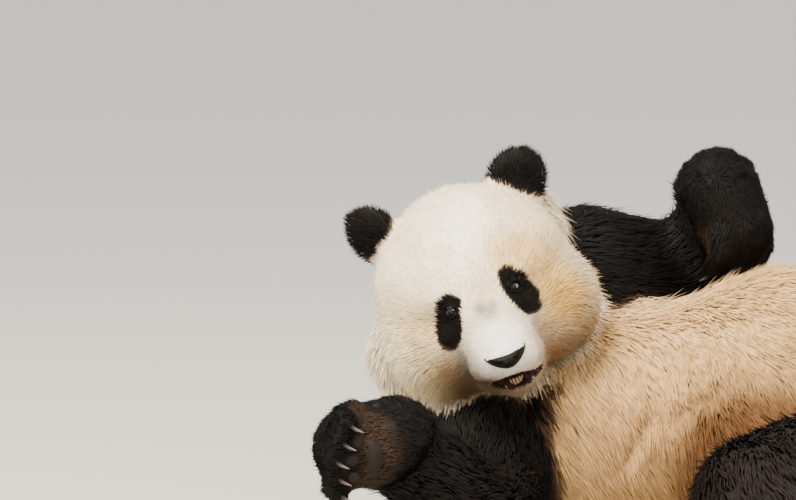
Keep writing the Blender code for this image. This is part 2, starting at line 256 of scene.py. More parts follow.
# %% [markdown]
# ## The skin
# One skin covers the whole body, so that no seam shows between the sub-parts. Copies of the flesh
# nodes are joined and voxel remeshed, which fuses them into one closed surface. The form's nose is
# under the skin too, as the ground that the nose pad will lie on.
# %% Fuse the flesh into one surface
FLESH = ["head", "lower_jaw", "neck", "trunk", "tail"]
FLESH += [f"{part}_{side}" for part in ("ear", "foreleg", "hindleg", "forepaw", "hindpaw") for side in SIDES]
UNDER_SKIN = FLESH + ["nose"]
VOXEL = 7.6 * MM

skin = copy_form("skin", *UNDER_SKIN)
apply(skin, "REMESH", mode="VOXEL", voxel_size=VOXEL)
print("skin:", len(skin.data.vertices), "points")

# %% [markdown]
# Lids and lips are only a few millimetres thick, so the face needs finer faces than the body: each
# is split into four, again round the eyes and the mouth, and once more at the lids. Paws and ears
# are split once.
# %% Finer faces on the face
EYES = {side: np.array(middle(f"eye_{side}")) for side in SIDES}
NOSE_TIP = np.array(middle("nose"))
# low and high corners of two boxes on the head: forward, left and up
FACE_BOX = (0.045, -0.095, -0.125), (1.0, 0.095, 0.10)
MOUTH_BOX = (0.075, -0.045, -0.115), (1.0, 0.045, -0.030)
NEAR_EYE, NEAR_LIDS = 0.026, 0.019


def refine(obj, near):
    """Splits each face whose centre `near` accepts into four."""
    mesh = obj.data
    chosen = near(read(mesh.polygons, "center").astype(float))
    only(obj)
    mesh.vertices.foreach_set("select", np.zeros(len(mesh.vertices), bool))
    mesh.edges.foreach_set("select", np.zeros(len(mesh.edges), bool))
    mesh.polygons.foreach_set("select", chosen)
    bpy.ops.object.mode_set(mode="EDIT")
    bpy.ops.mesh.select_mode(type="FACE")
    bpy.ops.mesh.subdivide(number_cuts=1)
    bpy.ops.object.mode_set(mode="OBJECT")


def from_eyes(points):
    """The distance to the nearer eye of the form."""
    return np.minimum(*[distance(points, eye) for eye in EYES.values()])


def fine(points):
    """True on the front of the face, and in the box of each paw and ear."""
    inside = in_box(on_head(points), *FACE_BOX)
    for name in FLESH:
        if "paw" in name or "ear_" in name:
            inside |= in_box(points, *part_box(name))
    return inside


refine(skin, fine)
refine(skin, lambda points: (from_eyes(points) < NEAR_EYE) | in_box(on_head(points), *MOUTH_BOX))
refine(skin, lambda points: from_eyes(points) < NEAR_LIDS)
print("skin with a finer face:", len(skin.data.vertices), "points")

# %% [markdown]
# The finer faces are only as round as the coarse ones they came from, so each new point is drawn onto
# the body form again. The nearest face of the form also tells which sub-part a point belongs to: this
# gives one mask for each sub-part, from 0 to 1, and spreading the masks over the skin softens the
# borders. Coat length, markings and the lie of the hair all read these masks.
# %% Masks of the sub-parts
MASK_SOFTENING = 3

corners, faces, owners = [], [], []
for index, name in enumerate(UNDER_SKIN):
    form_mesh = frame["nodes"][name].data
    first = len(corners)
    corners += [vertex.co.copy() for vertex in form_mesh.vertices]
    faces += [[first + corner for corner in face.vertices] for face in form_mesh.polygons]
    owners += [index] * len(form_mesh.polygons)
form = BVHTree.FromPolygons(corners, faces)

points = points_of(skin)
nearest = [form.find_nearest(Vector(point)) for point in points]
owner = np.array([owners[hit[2]] for hit in nearest])
finer = fine(points)
points[finer] = np.array([hit[0] for hit in nearest])[finer]

ends = read(skin.data.edges, "vertices", 2, int)
ends = np.concatenate([ends, ends[:, ::-1]])
neighbours = np.bincount(ends[:, 0], minlength=len(points))


def spread(values, times, share=0.5):
    """Mixes each point's value with its neighbours' mean, over and over."""
    columns = values.reshape(len(values), -1)
    for _ in range(times):
        sums = [np.bincount(ends[:, 0], column[ends[:, 1]], len(columns)) for column in columns.T]
        columns = columns + share * (np.stack(sums, axis=1) / neighbours[:, None] - columns)
    return columns.reshape(values.shape)


def mask_of(*parts):
    chosen = [index for index, name in enumerate(UNDER_SKIN) if name.startswith(parts)]
    return spread(np.isin(owner, chosen).astype(float), MASK_SOFTENING)


print("points on the trunk:", round(mask_of("trunk").sum()))

# %% [markdown]
# ## Coat length and the depth of the skin
# The outline of the body form reaches to the tips of the coat, so the skin lies inside it by as much
# as the hair stands up there. A panda's hair is 3 mm on the muzzle, about 10 mm on the forehead and
# paws, over 20 mm on the cheeks and near 35 mm on the body. It lies down, so it stands less than half
# of its length above the skin.
# %% Coat length
LENGTHS = {"neck": 36, "trunk": 36, "tail": 32, "ear": 13}
LENGTHS |= {"foreleg": 32, "hindleg": 32, "forepaw": 12, "hindpaw": 12}
ON_NOSE, MORE_ON_BROW, MORE_ON_CHEEK, MORE_BEHIND = 3.0, 7.0, 13.0, 9.0
LENGTH_SOFTENING = 6


def face_length(points):
    """Hair length in mm on the head: short by the nose, long on the cheeks and behind."""
    forward, left, up = on_head(points).T
    length = ON_NOSE + MORE_ON_BROW * ramp(distance(points, NOSE_TIP), 0.035, 0.13)
    length += MORE_ON_CHEEK * ramp(np.abs(left), 0.050, 0.115) * ramp(-up, -0.055, 0.015)
    return length + MORE_BEHIND * ramp(-forward, -0.02, 0.09)


head_mask = mask_of("head", "lower_jaw", "nose")
length = head_mask * face_length(points)
for part, millimetres in LENGTHS.items():
    length += mask_of(part) * millimetres
length = spread(length, LENGTH_SOFTENING) * MM
print("coat length, mm:", round(length.min() / MM, 1), "to", round(length.max() / MM, 1))

# %% [markdown]
# The lips have hardly any hair, so the skin there stays near the form. The muzzle dips a little above
# the nose pad, and the upper lip is raised on its right side: at both places the skin is drawn in
# further.
# %% Depth on the face
STANDING = 0.46
MOUTH_AT, MOUTH_SIZE = (0.128, 0.006, -0.0875), (0.046, 0.027, 0.0088)
LIP_BORDER, LIP_THINNESS = (1.2, 2.2), 0.75
DIP_UP, DIP_REACH, DIP_DEEP = 13 * MM, 17 * MM, 9 * MM
LIP_AT, LIP_REACH, LIP_RAISED = (0.130, -0.022, -0.086), 0.018, 14 * MM


def mouth_depth(points):
    """1 on the edge of the mouth's opening, less inside it."""
    return np.linalg.norm((on_head(points) - MOUTH_AT) / MOUTH_SIZE, axis=1)


lips = 1 - ramp(mouth_depth(points), *LIP_BORDER)
depth = length * STANDING * (1 - LIP_THINNESS * lips)
depth += DIP_DEEP * mound(distance(points, NOSE_TIP + DIP_UP * head_axes[2]), DIP_REACH)
depth += LIP_RAISED * mound(distance(on_head(points), LIP_AT), LIP_REACH)
print("skin under the form, mm:", round(depth.min() / MM, 1), "to", round(depth.max() / MM, 1))

# %% [markdown]
# The animal is bent at the waist, so its belly folds. Two shallow creases run up the near side of the
# belly. They are lines seen from the front, and a point's distance from them sets how far it sinks.
# %% Belly folds
FOLDS = (((-0.228, 0.118), (-0.180, 0.208)), ((-0.160, 0.200), (-0.076, 0.268)))
FOLD_DEEP, FOLD_WIDE, FOLD_ENDS = 9 * MM, 11 * MM, 0.35
FOLD_FRONT = (0.02, 0.10)


def in_fold(points):
    """1 in the bottom of a belly fold, 0 away from them."""
    near = np.zeros(len(points))
    for start, end in np.array(FOLDS):
        share, away = from_line(points[:, [0, 2]], start, end)
        taper = FOLD_ENDS + (1 - FOLD_ENDS) * np.sin(math.pi * share.clip(0.05, 0.95))
        near = np.maximum(near, taper * mound(away, FOLD_WIDE))
    return near * ramp(-points[:, 1], *FOLD_FRONT)


depth += FOLD_DEEP * in_fold(points) * mask_of("trunk")
print("points in the folds:", (in_fold(points) > 0.5).sum())

# %% [markdown]
# The skin is drawn in by its depth in three small steps, smoothed a little after each, because one
# big step would cross over itself in the hollows between limbs and body. The body is smoothed first,
# which hides the joins of the form's simple shapes.
# %% Draw the skin in
BODY_SOFTENING, INSET_STEPS = 30, 3

body_only = (1 - head_mask - mask_of("forepaw", "hindpaw", "ear"))[:, None].clip(0, 1)
points += body_only * (spread(points, BODY_SOFTENING) - points)
for _ in range(INSET_STEPS):
    set_points(skin, points)
    outward = unit(spread(normals_of(skin), 2))
    points -= outward * depth[:, None] / INSET_STEPS
    points += 0.5 * (spread(points, 2) - points)
set_points(skin, points)
print("skin box, metres:", np.round(points.min(axis=0), 3), np.round(points.max(axis=0), 3))

# %% [markdown]
# ## Lids
# Glass eyes are set in the form and the skin is modelled over them. Each eyeball sits a little deeper
# than the one on the form, so that it lies between its lids. No face is even, so the left eye sits
# nearer the nose. Round the ball the skin is pushed out to a shell just over it, and inside the almond
# of the opening it is pushed behind the ball.
# %% Set the eyes and shape the lids
EYE_RADIUS, EYE_SET_BACK, LID, BEHIND_BALL = 9.2 * MM, 3.4 * MM, 1.3 * MM, 2.5 * MM
EYE_ASIDE = {"left": -2.8 * MM, "right": -0.5 * MM}
OPENING, OPENING_LEAN, LOOK_OUT = (6.6 * MM, 4.6 * MM), math.radians(12), 0.30
OPENING_EDGE, FAR_OUTSIDE, LIDS_REACH = (0.92, 1.08), 9.0, 2.2 * EYE_RADIUS


class Eye:
    """An eyeball's centre and its own directions: out of the face, sideways and up."""

    def __init__(self, side, sign):
        self.side = side
        self.centre = EYES[side] - EYE_SET_BACK * head_axes[0] + EYE_ASIDE[side] * head_axes[1]
        self.out = unit(head_axes[0] + sign * LOOK_OUT * head_axes[1])
        level = unit(np.cross(head_axes[2], self.out))
        rise = np.cross(self.out, level)
        turn = -sign * OPENING_LEAN
        self.across = math.cos(turn) * level + math.sin(turn) * rise
        self.up = math.cos(turn) * rise - math.sin(turn) * level

    def local(self, places):
        """Distances out, across and up from the centre of the ball."""
        return (places - self.centre) @ np.array([self.out, self.across, self.up]).T

    def world(self, across, up, out):
        """The points in the world at those distances."""
        return self.centre + across[:, None] * self.across + up[:, None] * self.up + out[:, None] * self.out

    def opening(self, places):
        """Below 1 inside the opening between the lids, above 1 outside it."""
        out, across, up = self.local(places).T
        away = np.hypot(across / OPENING[0], up / OPENING[1])
        return np.where(out > 0, away, FAR_OUTSIDE)


eyes = [Eye(side, sign) for side, sign in SIGNS.items()]
for eye in eyes:
    away = distance(points, eye.centre)
    out = eye.local(points)[:, 0]
    lidded = np.maximum(away, EYE_RADIUS + LID)
    opened = 1 - ramp(eye.opening(points), *OPENING_EDGE)
    lidded += opened * (EYE_RADIUS - BEHIND_BALL - lidded)
    near = ramp(out, -0.2 * EYE_RADIUS, 0.3 * EYE_RADIUS) * (away < LIDS_REACH)
    points += ((lidded - away) * near / away)[:, None] * (points - eye.centre)
    print(eye.side, "lids:", (near > 0).sum(), "points")
set_points(skin, points)

# %% [markdown]
# ## The lie of the coat
# Hair grows away from the nose: back over the head, along the spine to the tail, down each limb to
# the toes, and out from the root of each ear. Each sub-part gets its own simple flow, a direction
# along a chain of joints or away from a point.
# %% Flow along a chain of joints
BONES = {
    "foreleg_left": [(-0.250, 0.195, 0.335), (-0.070, 0.265, 0.300), (-0.068, 0.150, 0.458)],
    "foreleg_right": [(-0.415, -0.005, 0.141), (-0.385, -0.215, 0.068), (-0.508, -0.315, 0.200)],
    "hindleg_left": [(0.250, -0.040, 0.235), (0.170, 0.170, 0.355), (0.320, 0.270, 0.250)],
    "hindleg_right": [(0.130, -0.225, 0.122), (-0.072, -0.440, 0.148), (0.110, -0.560, 0.074)],
    "trunk": [(-0.300, 0.030, 0.250), (-0.235, 0.075, 0.158), (0.025, -0.020, 0.182), (0.285, -0.165, 0.150)],
    "neck": [(-0.400, -0.060, 0.340), (-0.235, 0.075, 0.158)],
    "tail": [(0.380, -0.213, 0.088), (0.452, -0.247, 0.052)],
}
EAR_ROOT = (-0.045, 0.078, 0.088)
EAR_ROOTS = {side: from_head(EAR_ROOT * np.array([1, sign, 1])) for side, sign in SIGNS.items()}
WRISTS = {name.replace("leg", "paw"): np.array(chain[2]) for name, chain in BONES.items() if "leg" in name}
BONE_CORE = 20 * MM


def along(points, chain):
    """The direction of a chain of joints near each point."""
    flow = np.zeros_like(points)
    for start, end in zip(np.array(chain[:-1]), np.array(chain[1:])):
        away = from_line(points, start, end)[1]
        flow += unit(end - start) / (away[:, None] ** 2 + BONE_CORE ** 2)
    return unit(flow)


flow = head_mask[:, None] * unit(points - NOSE_TIP)
for name, chain in BONES.items():
    flow += mask_of(name)[:, None] * along(points, chain)
for side, ear_root in EAR_ROOTS.items():
    flow += mask_of(f"ear_{side}")[:, None] * unit(points - ear_root)
for paw, wrist in WRISTS.items():
    flow += mask_of(paw)[:, None] * unit(points - wrist)
print("flows along", len(BONES), "chains,", len(WRISTS), "paws and", len(EAR_ROOTS), "ears")

# %% [markdown]
# Long hair hangs, so the flow is pulled down where the coat is long. Then it is laid flat on the skin
# and spread over it, until the flows of neighbouring parts run into each other like combed hair.
# %% Comb the skin
HANGING, HANGING_ON_HEAD = 0.75, 0.35
COMBINGS, STROKES = 2, 8

long_hair = ramp(length, 15 * MM, 34 * MM) * (1 - mask_of("foreleg", "hindleg"))
flow[:, 2] -= HANGING * long_hair
flow[:, 2] -= HANGING_ON_HEAD * head_mask * ramp(length, 14 * MM, 22 * MM)
normal = normals_of(skin)
for _ in range(COMBINGS):
    flow = spread(unit(along_surface(flow, normal)), STROKES)
flow = unit(along_surface(flow, normal))
print("hair that lies downwards:", round((flow[:, 2] < 0).mean(), 2))

# %% [markdown]
# ## Markings
# The black of a panda covers the ears, the eye patches, the shoulders with the forelegs, and the hind
# legs. The white hair isn't white: it is cream on the forehead, stained tan where the animal lies and
# eats, and clean only on the muzzle. Under the muzzle, on the chin and jaw, on the lower cheeks and
# on the chest below the cheek, spots of painted shade stand in the same tables as the stains, and on
# the lower cheeks they deepen brown stains. Each stain or spot of shade is a soft round spot with a
# place, a reach, a colour and a strength.
# %% Colours
def linear(colour):
    """An sRGB hex colour as the linear values that Blender mixes."""
    srgb = np.array([int(colour[at:at + 2], 16) / 255 for at in (1, 3, 5)])
    return np.where(srgb < 0.04045, srgb / 12.92, ((srgb + 0.055) / 1.055) ** 2.4)


CREAM, BELLY, BACK = linear("#f1e3c6"), linear("#cda671"), linear("#d9c6a2")
BLACK, DARK_BROWN, BROWN, GREY = (linear(tone) for tone in ("#0b0908", "#140e0a", "#57402e", "#3b342d"))
MOUTH_RED_IN_SHADE, PALM = linear("#2a120d"), linear("#2c2017")
# left, up and reach on the front of the head, colour, strength
FACE_STAINS_AND_SHADE = (
    (0.000, 0.080, 0.070, "#fdf6e6", 0.9),
    (-0.020, 0.085, 0.016, "#e3c795", 0.6),
    (0.000, 0.022, 0.030, "#dcc79f", 0.7),
    (0.086, -0.020, 0.062, "#b0883c", 0.95),
    (0.044, 0.054, 0.032, "#d6b576", 0.8),
    (0.072, 0.049, 0.045, "#d8b472", 0.7),
    (0.092, 0.014, 0.040, "#cca660", 0.8),
    # brown on the animal's right lower cheek, deepened by painted shade
    (-0.069, -0.057, 0.042, "#7c5b34", 0.95),
    # painted shade under the muzzle on the animal's right
    (-0.050, -0.086, 0.030, "#3c2813", 0.95),
    (-0.026, -0.096, 0.016, "#3c2813", 0.95),
    (0.128, 0.024, 0.034, "#d9cfb6", 0.7),
    (-0.080, 0.000, 0.046, "#d4b987", 0.85),
    # brown on the lower jaw on the animal's right, deepened by painted shade
    (-0.052, -0.096, 0.070, "#644622", 0.98),
    (-0.115, -0.060, 0.045, "#cdb98f", 0.6),
    (0.058, -0.085, 0.044, "#8d6637", 0.95),
    # painted shade where the lower cheek on the animal's left turns away
    (0.096, -0.092, 0.036, "#43382e", 0.9),
    # brown below the eye patch on the animal's right, deepened by painted shade
    (-0.044, -0.054, 0.024, "#5b4228", 0.85),
    (0.050, -0.046, 0.020, "#85602f", 0.75),
    (0.000, -0.038, 0.046, "#f7f6f1", 1.0),
    (0.000, 0.004, 0.013, "#9d968a", 0.7),
    (-0.009, 0.010, 0.010, "#85786a", 0.8),
    (0.007, 0.009, 0.007, "#93806f", 0.6),
    # painted shade under the muzzle on the animal's right
    (-0.036, -0.080, 0.019, "#3c2813", 0.9),
    # painted shade on the chin, under the jaw on the left and at the lower edge of the left cheek
    (0.004, -0.116, 0.040, "#5c4838", 0.95),
    (0.066, -0.118, 0.034, "#51402f", 0.9),
    (0.112, -0.068, 0.030, "#6b5a45", 0.8),
    (0.088, -0.030, 0.030, "#b38a42", 0.6),
)
# place and reach on the trunk, colour, strength
BODY_STAINS_AND_SHADE = (
    ((-0.230, -0.150, 0.110), 0.090, "#9c784e", 0.8),
    ((-0.060, -0.260, 0.180), 0.100, "#8a6038", 0.85),
    ((0.120, -0.150, 0.330), 0.110, "#c9a878", 0.7),
    ((-0.018, -0.200, 0.225), 0.044, "#5e3d22", 0.9),
    ((-0.070, -0.180, 0.215), 0.044, "#5e3d22", 0.9),
    ((-0.104, -0.160, 0.193), 0.042, "#5e3d22", 0.9),
    ((-0.124, -0.144, 0.160), 0.042, "#5e3d22", 0.9),
    ((-0.136, -0.120, 0.118), 0.042, "#5e3d22", 0.9),
    # painted shade on the chest under the animal's left cheek
    ((-0.292, -0.060, 0.292), 0.040, "#4a4038", 0.8),
    ((-0.215, -0.100, 0.220), 0.060, "#c0946a", 0.5),
)
print("stains:", len(FACE_STAINS_AND_SHADE), "on the face,", len(BODY_STAINS_AND_SHADE), "on the body")

# %% [markdown]
# The borders between white and black are soft and ragged, because the hair of one lies over the other.
# So each black part is a darkness that rises through 0 at its border, with noise added, and the
# greatest of them counts; the hind legs have a softer one of their own. Skin and hair use the same
# function of place, and carry the same pattern.
# %% Where the coat is dark
# middle of each eye patch to the side and up, then its half width and half length
PATCHES = {1: (0.0450, 0.0095, 0.0168, 0.0385), -1: (0.0490, 0.0030, 0.0150, 0.0385)}
PATCH_LEAN, PATCH_CORNERS, PATCH_EDGE, LID_DARK = math.radians(20), 2.5, 5.0, 19 * MM
THROAT, THROAT_EDGE, BAND, BAND_LEAN, BAND_EDGE = 0.225, 25 * MM, -0.313, 0.135, 30 * MM
MOUTH_BORDER, MOUTH_DARK, ON_HINDLEG = 1.35, 0.8, 0.02
# the mask at the border, how steeply darkness rises there, and how ragged it is
BORDERS = {
    "limb": (0.45, 3.0, 0.5),
    "shoulder": (0.20, 4.0, 0.4),
    "ear": (0.5, 2.2, 0.2),
    "hindleg": (0.12, 1.35, 0.3),
}


def eye_patch(points):
    """How far a point is inside an eye patch: 1 in its middle, 0 at its edge."""
    forward, left, up = on_head(points).T
    inside = 1 - from_eyes(points) / LID_DARK
    for sign, (aside, height, half_wide, half_long) in PATCHES.items():
        across, along_it = sign * left - aside, up - height
        turned = across * math.cos(PATCH_LEAN) + along_it * math.sin(PATCH_LEAN)
        upright = along_it * math.cos(PATCH_LEAN) - across * math.sin(PATCH_LEAN)
        parts = np.abs(turned / half_wide) ** PATCH_CORNERS + np.abs(upright / half_long) ** PATCH_CORNERS
        inside = np.maximum(inside, 1 - parts ** (1 / PATCH_CORNERS))
    return np.where(forward > 0.02, inside.clip(-1), -1)


def darkness(points, masks):
    """0 and less on the pale coat, 1 and more on the black."""
    ragged = lumps(points, 9 * MM, 1) * 0.5 + lumps(points, 4 * MM, 2) * 0.3

    def rises(part):
        border, steepness, raggedness = BORDERS[part]
        return steepness * (masks[part] - border) + raggedness * ragged

    def only_on(part, dark):
        return masks[part] * (dark + 0.6 * ragged) - (1 - masks[part])

    behind = ramp(points[:, 1], -0.10, 0.12)
    band = only_on("trunk", (BAND + BAND_LEAN * behind - points[:, 0]) / BAND_EDGE)
    throat = only_on("neck", (THROAT - points[:, 2]) / THROAT_EDGE)
    dark = np.maximum.reduce([rises("limb"), rises("shoulder") - 2.0 * masks["head"], band, throat])
    dark = np.where(mouth_depth(points) < MOUTH_BORDER, MOUTH_DARK + 0.2 * ragged, dark)
    dark = np.maximum.reduce([dark, rises("ear"), PATCH_EDGE * (eye_patch(points) + 0.10 * ragged)])
    return np.where(masks["hindleg"] > ON_HINDLEG, rises("hindleg"), dark)


# %% [markdown]
# The pale colour is mixed first: cream, tan on the belly, paler on the back, then the stains, the
# spots of painted shade on the face and chest, and painted shade in the bottom of the belly folds.
# The border goes from there through brown, or through grey on the head, to black. The black is
# browner on the hind legs and the palms, and the inside of the mouth is red darkened by painted shade.
# %% Colour at a place
BACK_BEGINS, FACE_BEGINS = (-0.02, 0.20), (-0.07, 0.00)
TINT, TINT_SIZE, FOLD_SHADE = 0.10 * np.array([0.6, 1.0, 1.7]), 45 * MM, 0.22
TO_BROWN, TO_BLACK, TO_DARK = (0.0, 0.45), (0.35, 0.95), (0.0, 0.95)


def mix(colours, share, other):
    """Colours moved towards another colour, by a share for each point."""
    return colours + share[:, None] * (other - colours)


def pale(points, masks):
    """The coat's colour where it isn't black."""
    back = mix(BELLY, ramp(points[:, 1], *BACK_BEGINS), BACK)
    colour = mix(CREAM + 0 * points, ramp(masks["trunk"], 0.1, 0.9), back)
    front = on_head(points)
    on_face = ramp(front[:, 0], *FACE_BEGINS) * (masks["head"] + masks["neck"]).clip(0, 1)
    on_body = (masks["trunk"] + masks["neck"]).clip(0, 1)
    # stains and spots of painted shade on the face, then on the body
    for left, up, reach, spot, strength in FACE_STAINS_AND_SHADE:
        near = mound(distance(front[:, 1:], (left, up)), reach, 1.5)
        colour = mix(colour, strength * near * on_face, linear(spot))
    for place, reach, spot, strength in BODY_STAINS_AND_SHADE:
        near = mound(distance(points, place), reach)
        colour = mix(colour, strength * near * on_body, linear(spot))
    tint = 0.5 + 0.5 * lumps(points, TINT_SIZE, 3)
    colour *= 1 - tint[:, None] * TINT
    # Painted shade darkens the bottom of the belly folds.
    return colour * (1 - FOLD_SHADE * in_fold(points) * masks["trunk"])[:, None]


def markings(points, masks):
    """The coat's colour and its darkness at points, from the masks of the sub-parts there."""
    dark = darkness(points, masks)
    blackest = mix(BLACK, ramp(masks["hindleg"], 0.2, 0.8), DARK_BROWN)
    # the inside of the mouth: its red lining, darkened by painted shade
    blackest = mix(blackest, 1 - ramp(mouth_depth(points), 1.0, MOUTH_BORDER), MOUTH_RED_IN_SHADE)
    blackest = mix(blackest, masks["palm"], PALM)
    fringe = mix(BROWN, masks["head"], GREY)
    colour = mix(pale(points, masks), ramp(dark, *TO_BROWN), fringe)
    return mix(colour, ramp(dark, *TO_BLACK), blackest), ramp(dark, *TO_DARK)


# %% [markdown]
# The palms and soles are browner, so they get a mask of their own, in the middle of each paw's under
# side. The skin is painted a little darker than the hair on it, as painted shade that reads as depth
# between the tufts. A colour attribute holds one colour for each point of a mesh.
# %% Paint the skin
# The back of each paw points this way, and its pads the other way.
PAW_BACKS = {
    "forepaw_left": (0.60, -0.60, 0.52),
    "forepaw_right": (-0.55, 0.78, 0.20),
    "hindpaw_left": (-0.80, 0.10, 0.50),
    "hindpaw_right": (-0.50, -0.10, 0.85),
}
TOES = range(1, 6)
PALM_BEGINS, PALM_ENDS = (32 * MM, 50 * MM), (-92 * MM, -76 * MM)
SKIN_SHADE = 0.9


def claws_of(paw):
    """The middle of each claw of a paw."""
    return np.array([middle(f"claw_{paw}_{toe}") for toe in TOES])


def paint(obj, colours):
    """Stores a colour for each point of a mesh."""
    layer = obj.data.color_attributes.new(name="coat", type="FLOAT_COLOR", domain="POINT")
    rgba = np.column_stack([colours, np.ones(len(colours))])
    layer.data.foreach_set("color", rgba.astype(np.float32).ravel())


palm = np.zeros(len(points))
for paw, back in PAW_BACKS.items():
    facing = -normal @ unit(np.array(back))
    to_toes = unit(claws_of(paw).mean(axis=0) - WRISTS[paw])
    along_paw = (points - WRISTS[paw]) @ to_toes
    middle_of_paw = ramp(along_paw, *PALM_BEGINS) * ramp(-along_paw, *PALM_ENDS)
    palm += mask_of(paw) * ramp(facing, 0.0, 0.5) * middle_of_paw
masks = {
    "head": head_mask,
    "neck": mask_of("neck"),
    "trunk": mask_of("trunk", "tail"),
    "ear": mask_of("ear"),
    "limb": spread(mask_of("foreleg", "forepaw", "hindleg", "hindpaw"), 4),
    "shoulder": spread(mask_of("foreleg"), 24),
    "hindleg": spread(mask_of("hindleg", "hindpaw"), 20),
    "palm": spread(palm, 2),
}
skin_colour, skin_dark = markings(points, masks)
# painted shade: the skin is a little darker than the hair on it
paint(skin, skin_colour * SKIN_SHADE)
print("black share of the skin's points:", round((skin_dark > 0.5).mean(), 2))

# %% [markdown]
# ## Where the tufts stand
# A museum coat is sewn on whole, and here it is grown: each tuft of hair is a thin closed spike.
# Roots are drawn at random over the skin, and only the first one in each small cell of space is
# kept, which spaces them evenly. The cells are smallest on the face, and larger on the limbs, behind,
# and where the animal lies on its coat.
# %% Gaps between roots
FACE_GAP, BODY_GAP = 1.75 * MM, 3.5 * MM
MORE_BACK_GAP, MORE_LIMB_GAP, MORE_LYING_GAP = 0.8 * MM, 0.5 * MM, 1.6 * MM
IN_MOUTH, NO_ROOTS = 1.15, 1.0

skin.data.calc_loop_triangles()
triangles = read(skin.data.loop_triangles, "vertices", 3, int)
triangle_loops = read(skin.data.loop_triangles, "loops", 3, int)
edges = points[triangles[:, 1:]] - points[triangles[:, :1]]
areas = np.linalg.norm(np.cross(edges[:, 0], edges[:, 1]), axis=1) / 2
print("skin: area", round(areas.sum(), 2), "m2,", len(triangles), "triangles")

limbs = mask_of("foreleg", "hindleg", "forepaw", "hindpaw")
gap = FACE_GAP + (BODY_GAP - FACE_GAP) * ramp(length, 11 * MM, 30 * MM)
gap += MORE_BACK_GAP * mask_of("trunk", "hindleg", "tail") * ramp(points[:, 1], 0.0, 0.12)
gap += MORE_LIMB_GAP * (limbs - mask_of("trunk"))
gap += MORE_LYING_GAP * ramp(-normal[:, 2], 0.3, 0.8) * ramp(-points[:, 2], -0.12, -0.04)
gap = np.where(mouth_depth(points) < IN_MOUTH, NO_ROOTS, gap)

# %% [markdown]
# A triangle gets as many trial roots as its area asks for, a few times more than are kept. They are
# shuffled, so that no direction is preferred when the first one in each cell is taken.
# %% Roots
OVERSAMPLING, CELL_STEPS, CELL_KEY = 4, 4, 1e6

random = np.random.default_rng(7)
wanted = areas * OVERSAMPLING / (gap[triangles].mean(axis=1) ** 2)
counts = np.floor(wanted + random.random(len(wanted))).astype(int)
chosen = random.permutation(np.repeat(np.arange(len(triangles)), counts))
weights = random.random((len(chosen), 2))
folded = weights.sum(axis=1) > 1
weights[folded] = 1 - weights[folded]
weights = np.column_stack([1 - weights.sum(axis=1), weights])


def at_roots(values):
    """A skin value at each root."""
    return np.einsum("rc,rc...->r...", weights, values[triangles[chosen]])


cell_size = 2.0 ** (np.round(np.log2(at_roots(gap)) * CELL_STEPS) / CELL_STEPS)
cells = np.column_stack([np.floor(at_roots(points) / cell_size[:, None]), np.round(cell_size * CELL_KEY)])
first = np.sort(np.unique(cells.astype(np.int64), axis=0, return_index=True)[1])
chosen, weights = chosen[first], weights[first]
print("roots:", len(chosen))

# %% [markdown]
# The skin is unwrapped by its own shape, and each tuft takes a small patch of that map at its root's
# place, so that colours baked from the coat land beside those of the skin under it.
# %% Unwrap the skin
only(skin)
bpy.ops.object.mode_set(mode="EDIT")
bpy.ops.mesh.select_all(action="SELECT")
bpy.ops.uv.smart_project(angle_limit=math.radians(66), island_margin=0.002)
bpy.ops.object.mode_set(mode="OBJECT")
skin.data.uv_layers.active.name = "OFBake"
loop_uv = read(skin.data.uv_layers["OFBake"].data, "uv", 2).astype(float)
root_uv = np.einsum("rc,rcd->rd", weights, loop_uv[triangle_loops[chosen]])
print("unwrapped", len(loop_uv), "corners")

# %% [markdown]
# ## The tufts
# A tuft stands up from its root and bends over to lie along the body. It is a bent spindle of only
# five points: one at the root, a flat three-sided ring at the bend, and one at the tip. A few longer
# and thinner guard hairs stand out of the rest and soften the outline.
# %% What each tuft is like
WAVY, WAVE_SIZE, STRAY_FLOW = 0.28, 28 * MM, 0.11
SHORTEST, LONGEST, LENGTH_LUMPS = 0.78, 1.18, 0.15
GUARD_SHARE, GUARD_LONGER, GUARD_THINNER = 0.08, 1.25, 0.6
# degrees above the skin before and after the bend: usual, more on the ears, more for guard hairs
RISE, SETTLE, STRAY_RISE = (38, 22, 10), (14, 34, 16), 6
HAIR_LENGTHS, TUFT_WIDTHS = (3 * MM, 12 * MM, 34 * MM), (1.10 * MM, 1.4 * MM, 3.0 * MM)

random = np.random.default_rng(11)
count = len(chosen)
root, root_normal, root_flow = at_roots(points), unit(at_roots(normal)), at_roots(flow)
root_masks = {name: at_roots(mask) for name, mask in masks.items()}
root_flow += WAVY * np.column_stack([lumps(root, WAVE_SIZE, seed) for seed in (21, 22, 23)])
root_flow += STRAY_FLOW * random.normal(size=(count, 3))
root_flow = unit(along_surface(root_flow, root_normal))
sideways = np.cross(root_normal, root_flow)

root_length = at_roots(length) * random.uniform(SHORTEST, LONGEST, count)
root_length *= 1 + LENGTH_LUMPS * lumps(root, 20 * MM, 24)
guard = random.random(count) < GUARD_SHARE


def leaning(usual, on_ears, on_guard):
    """A direction for each tuft, some degrees above the skin."""
    degrees = usual + on_ears * root_masks["ear"] + on_guard * guard
    angle = np.radians(degrees + random.normal(0, STRAY_RISE, count))[:, None]
    return np.cos(angle) * root_flow + np.sin(angle) * root_normal


rising, settling = leaning(*RISE), leaning(*SETTLE)
width = np.interp(root_length, HAIR_LENGTHS, TUFT_WIDTHS)
width *= random.uniform(0.8, 1.2, count) * np.where(guard, GUARD_THINNER, 1)
root_length = root_length * np.where(guard, GUARD_LONGER, 1)
print("tufts:", count, "of them guard hairs:", guard.sum())

# %% [markdown]
# Each tuft bends at about a third of its length, a little to one side, and the tips of long ones sag.
# %% Bend each tuft
BEND_AT, BEND_ASIDE, TIP_SAG = 0.38, 0.10, 0.10

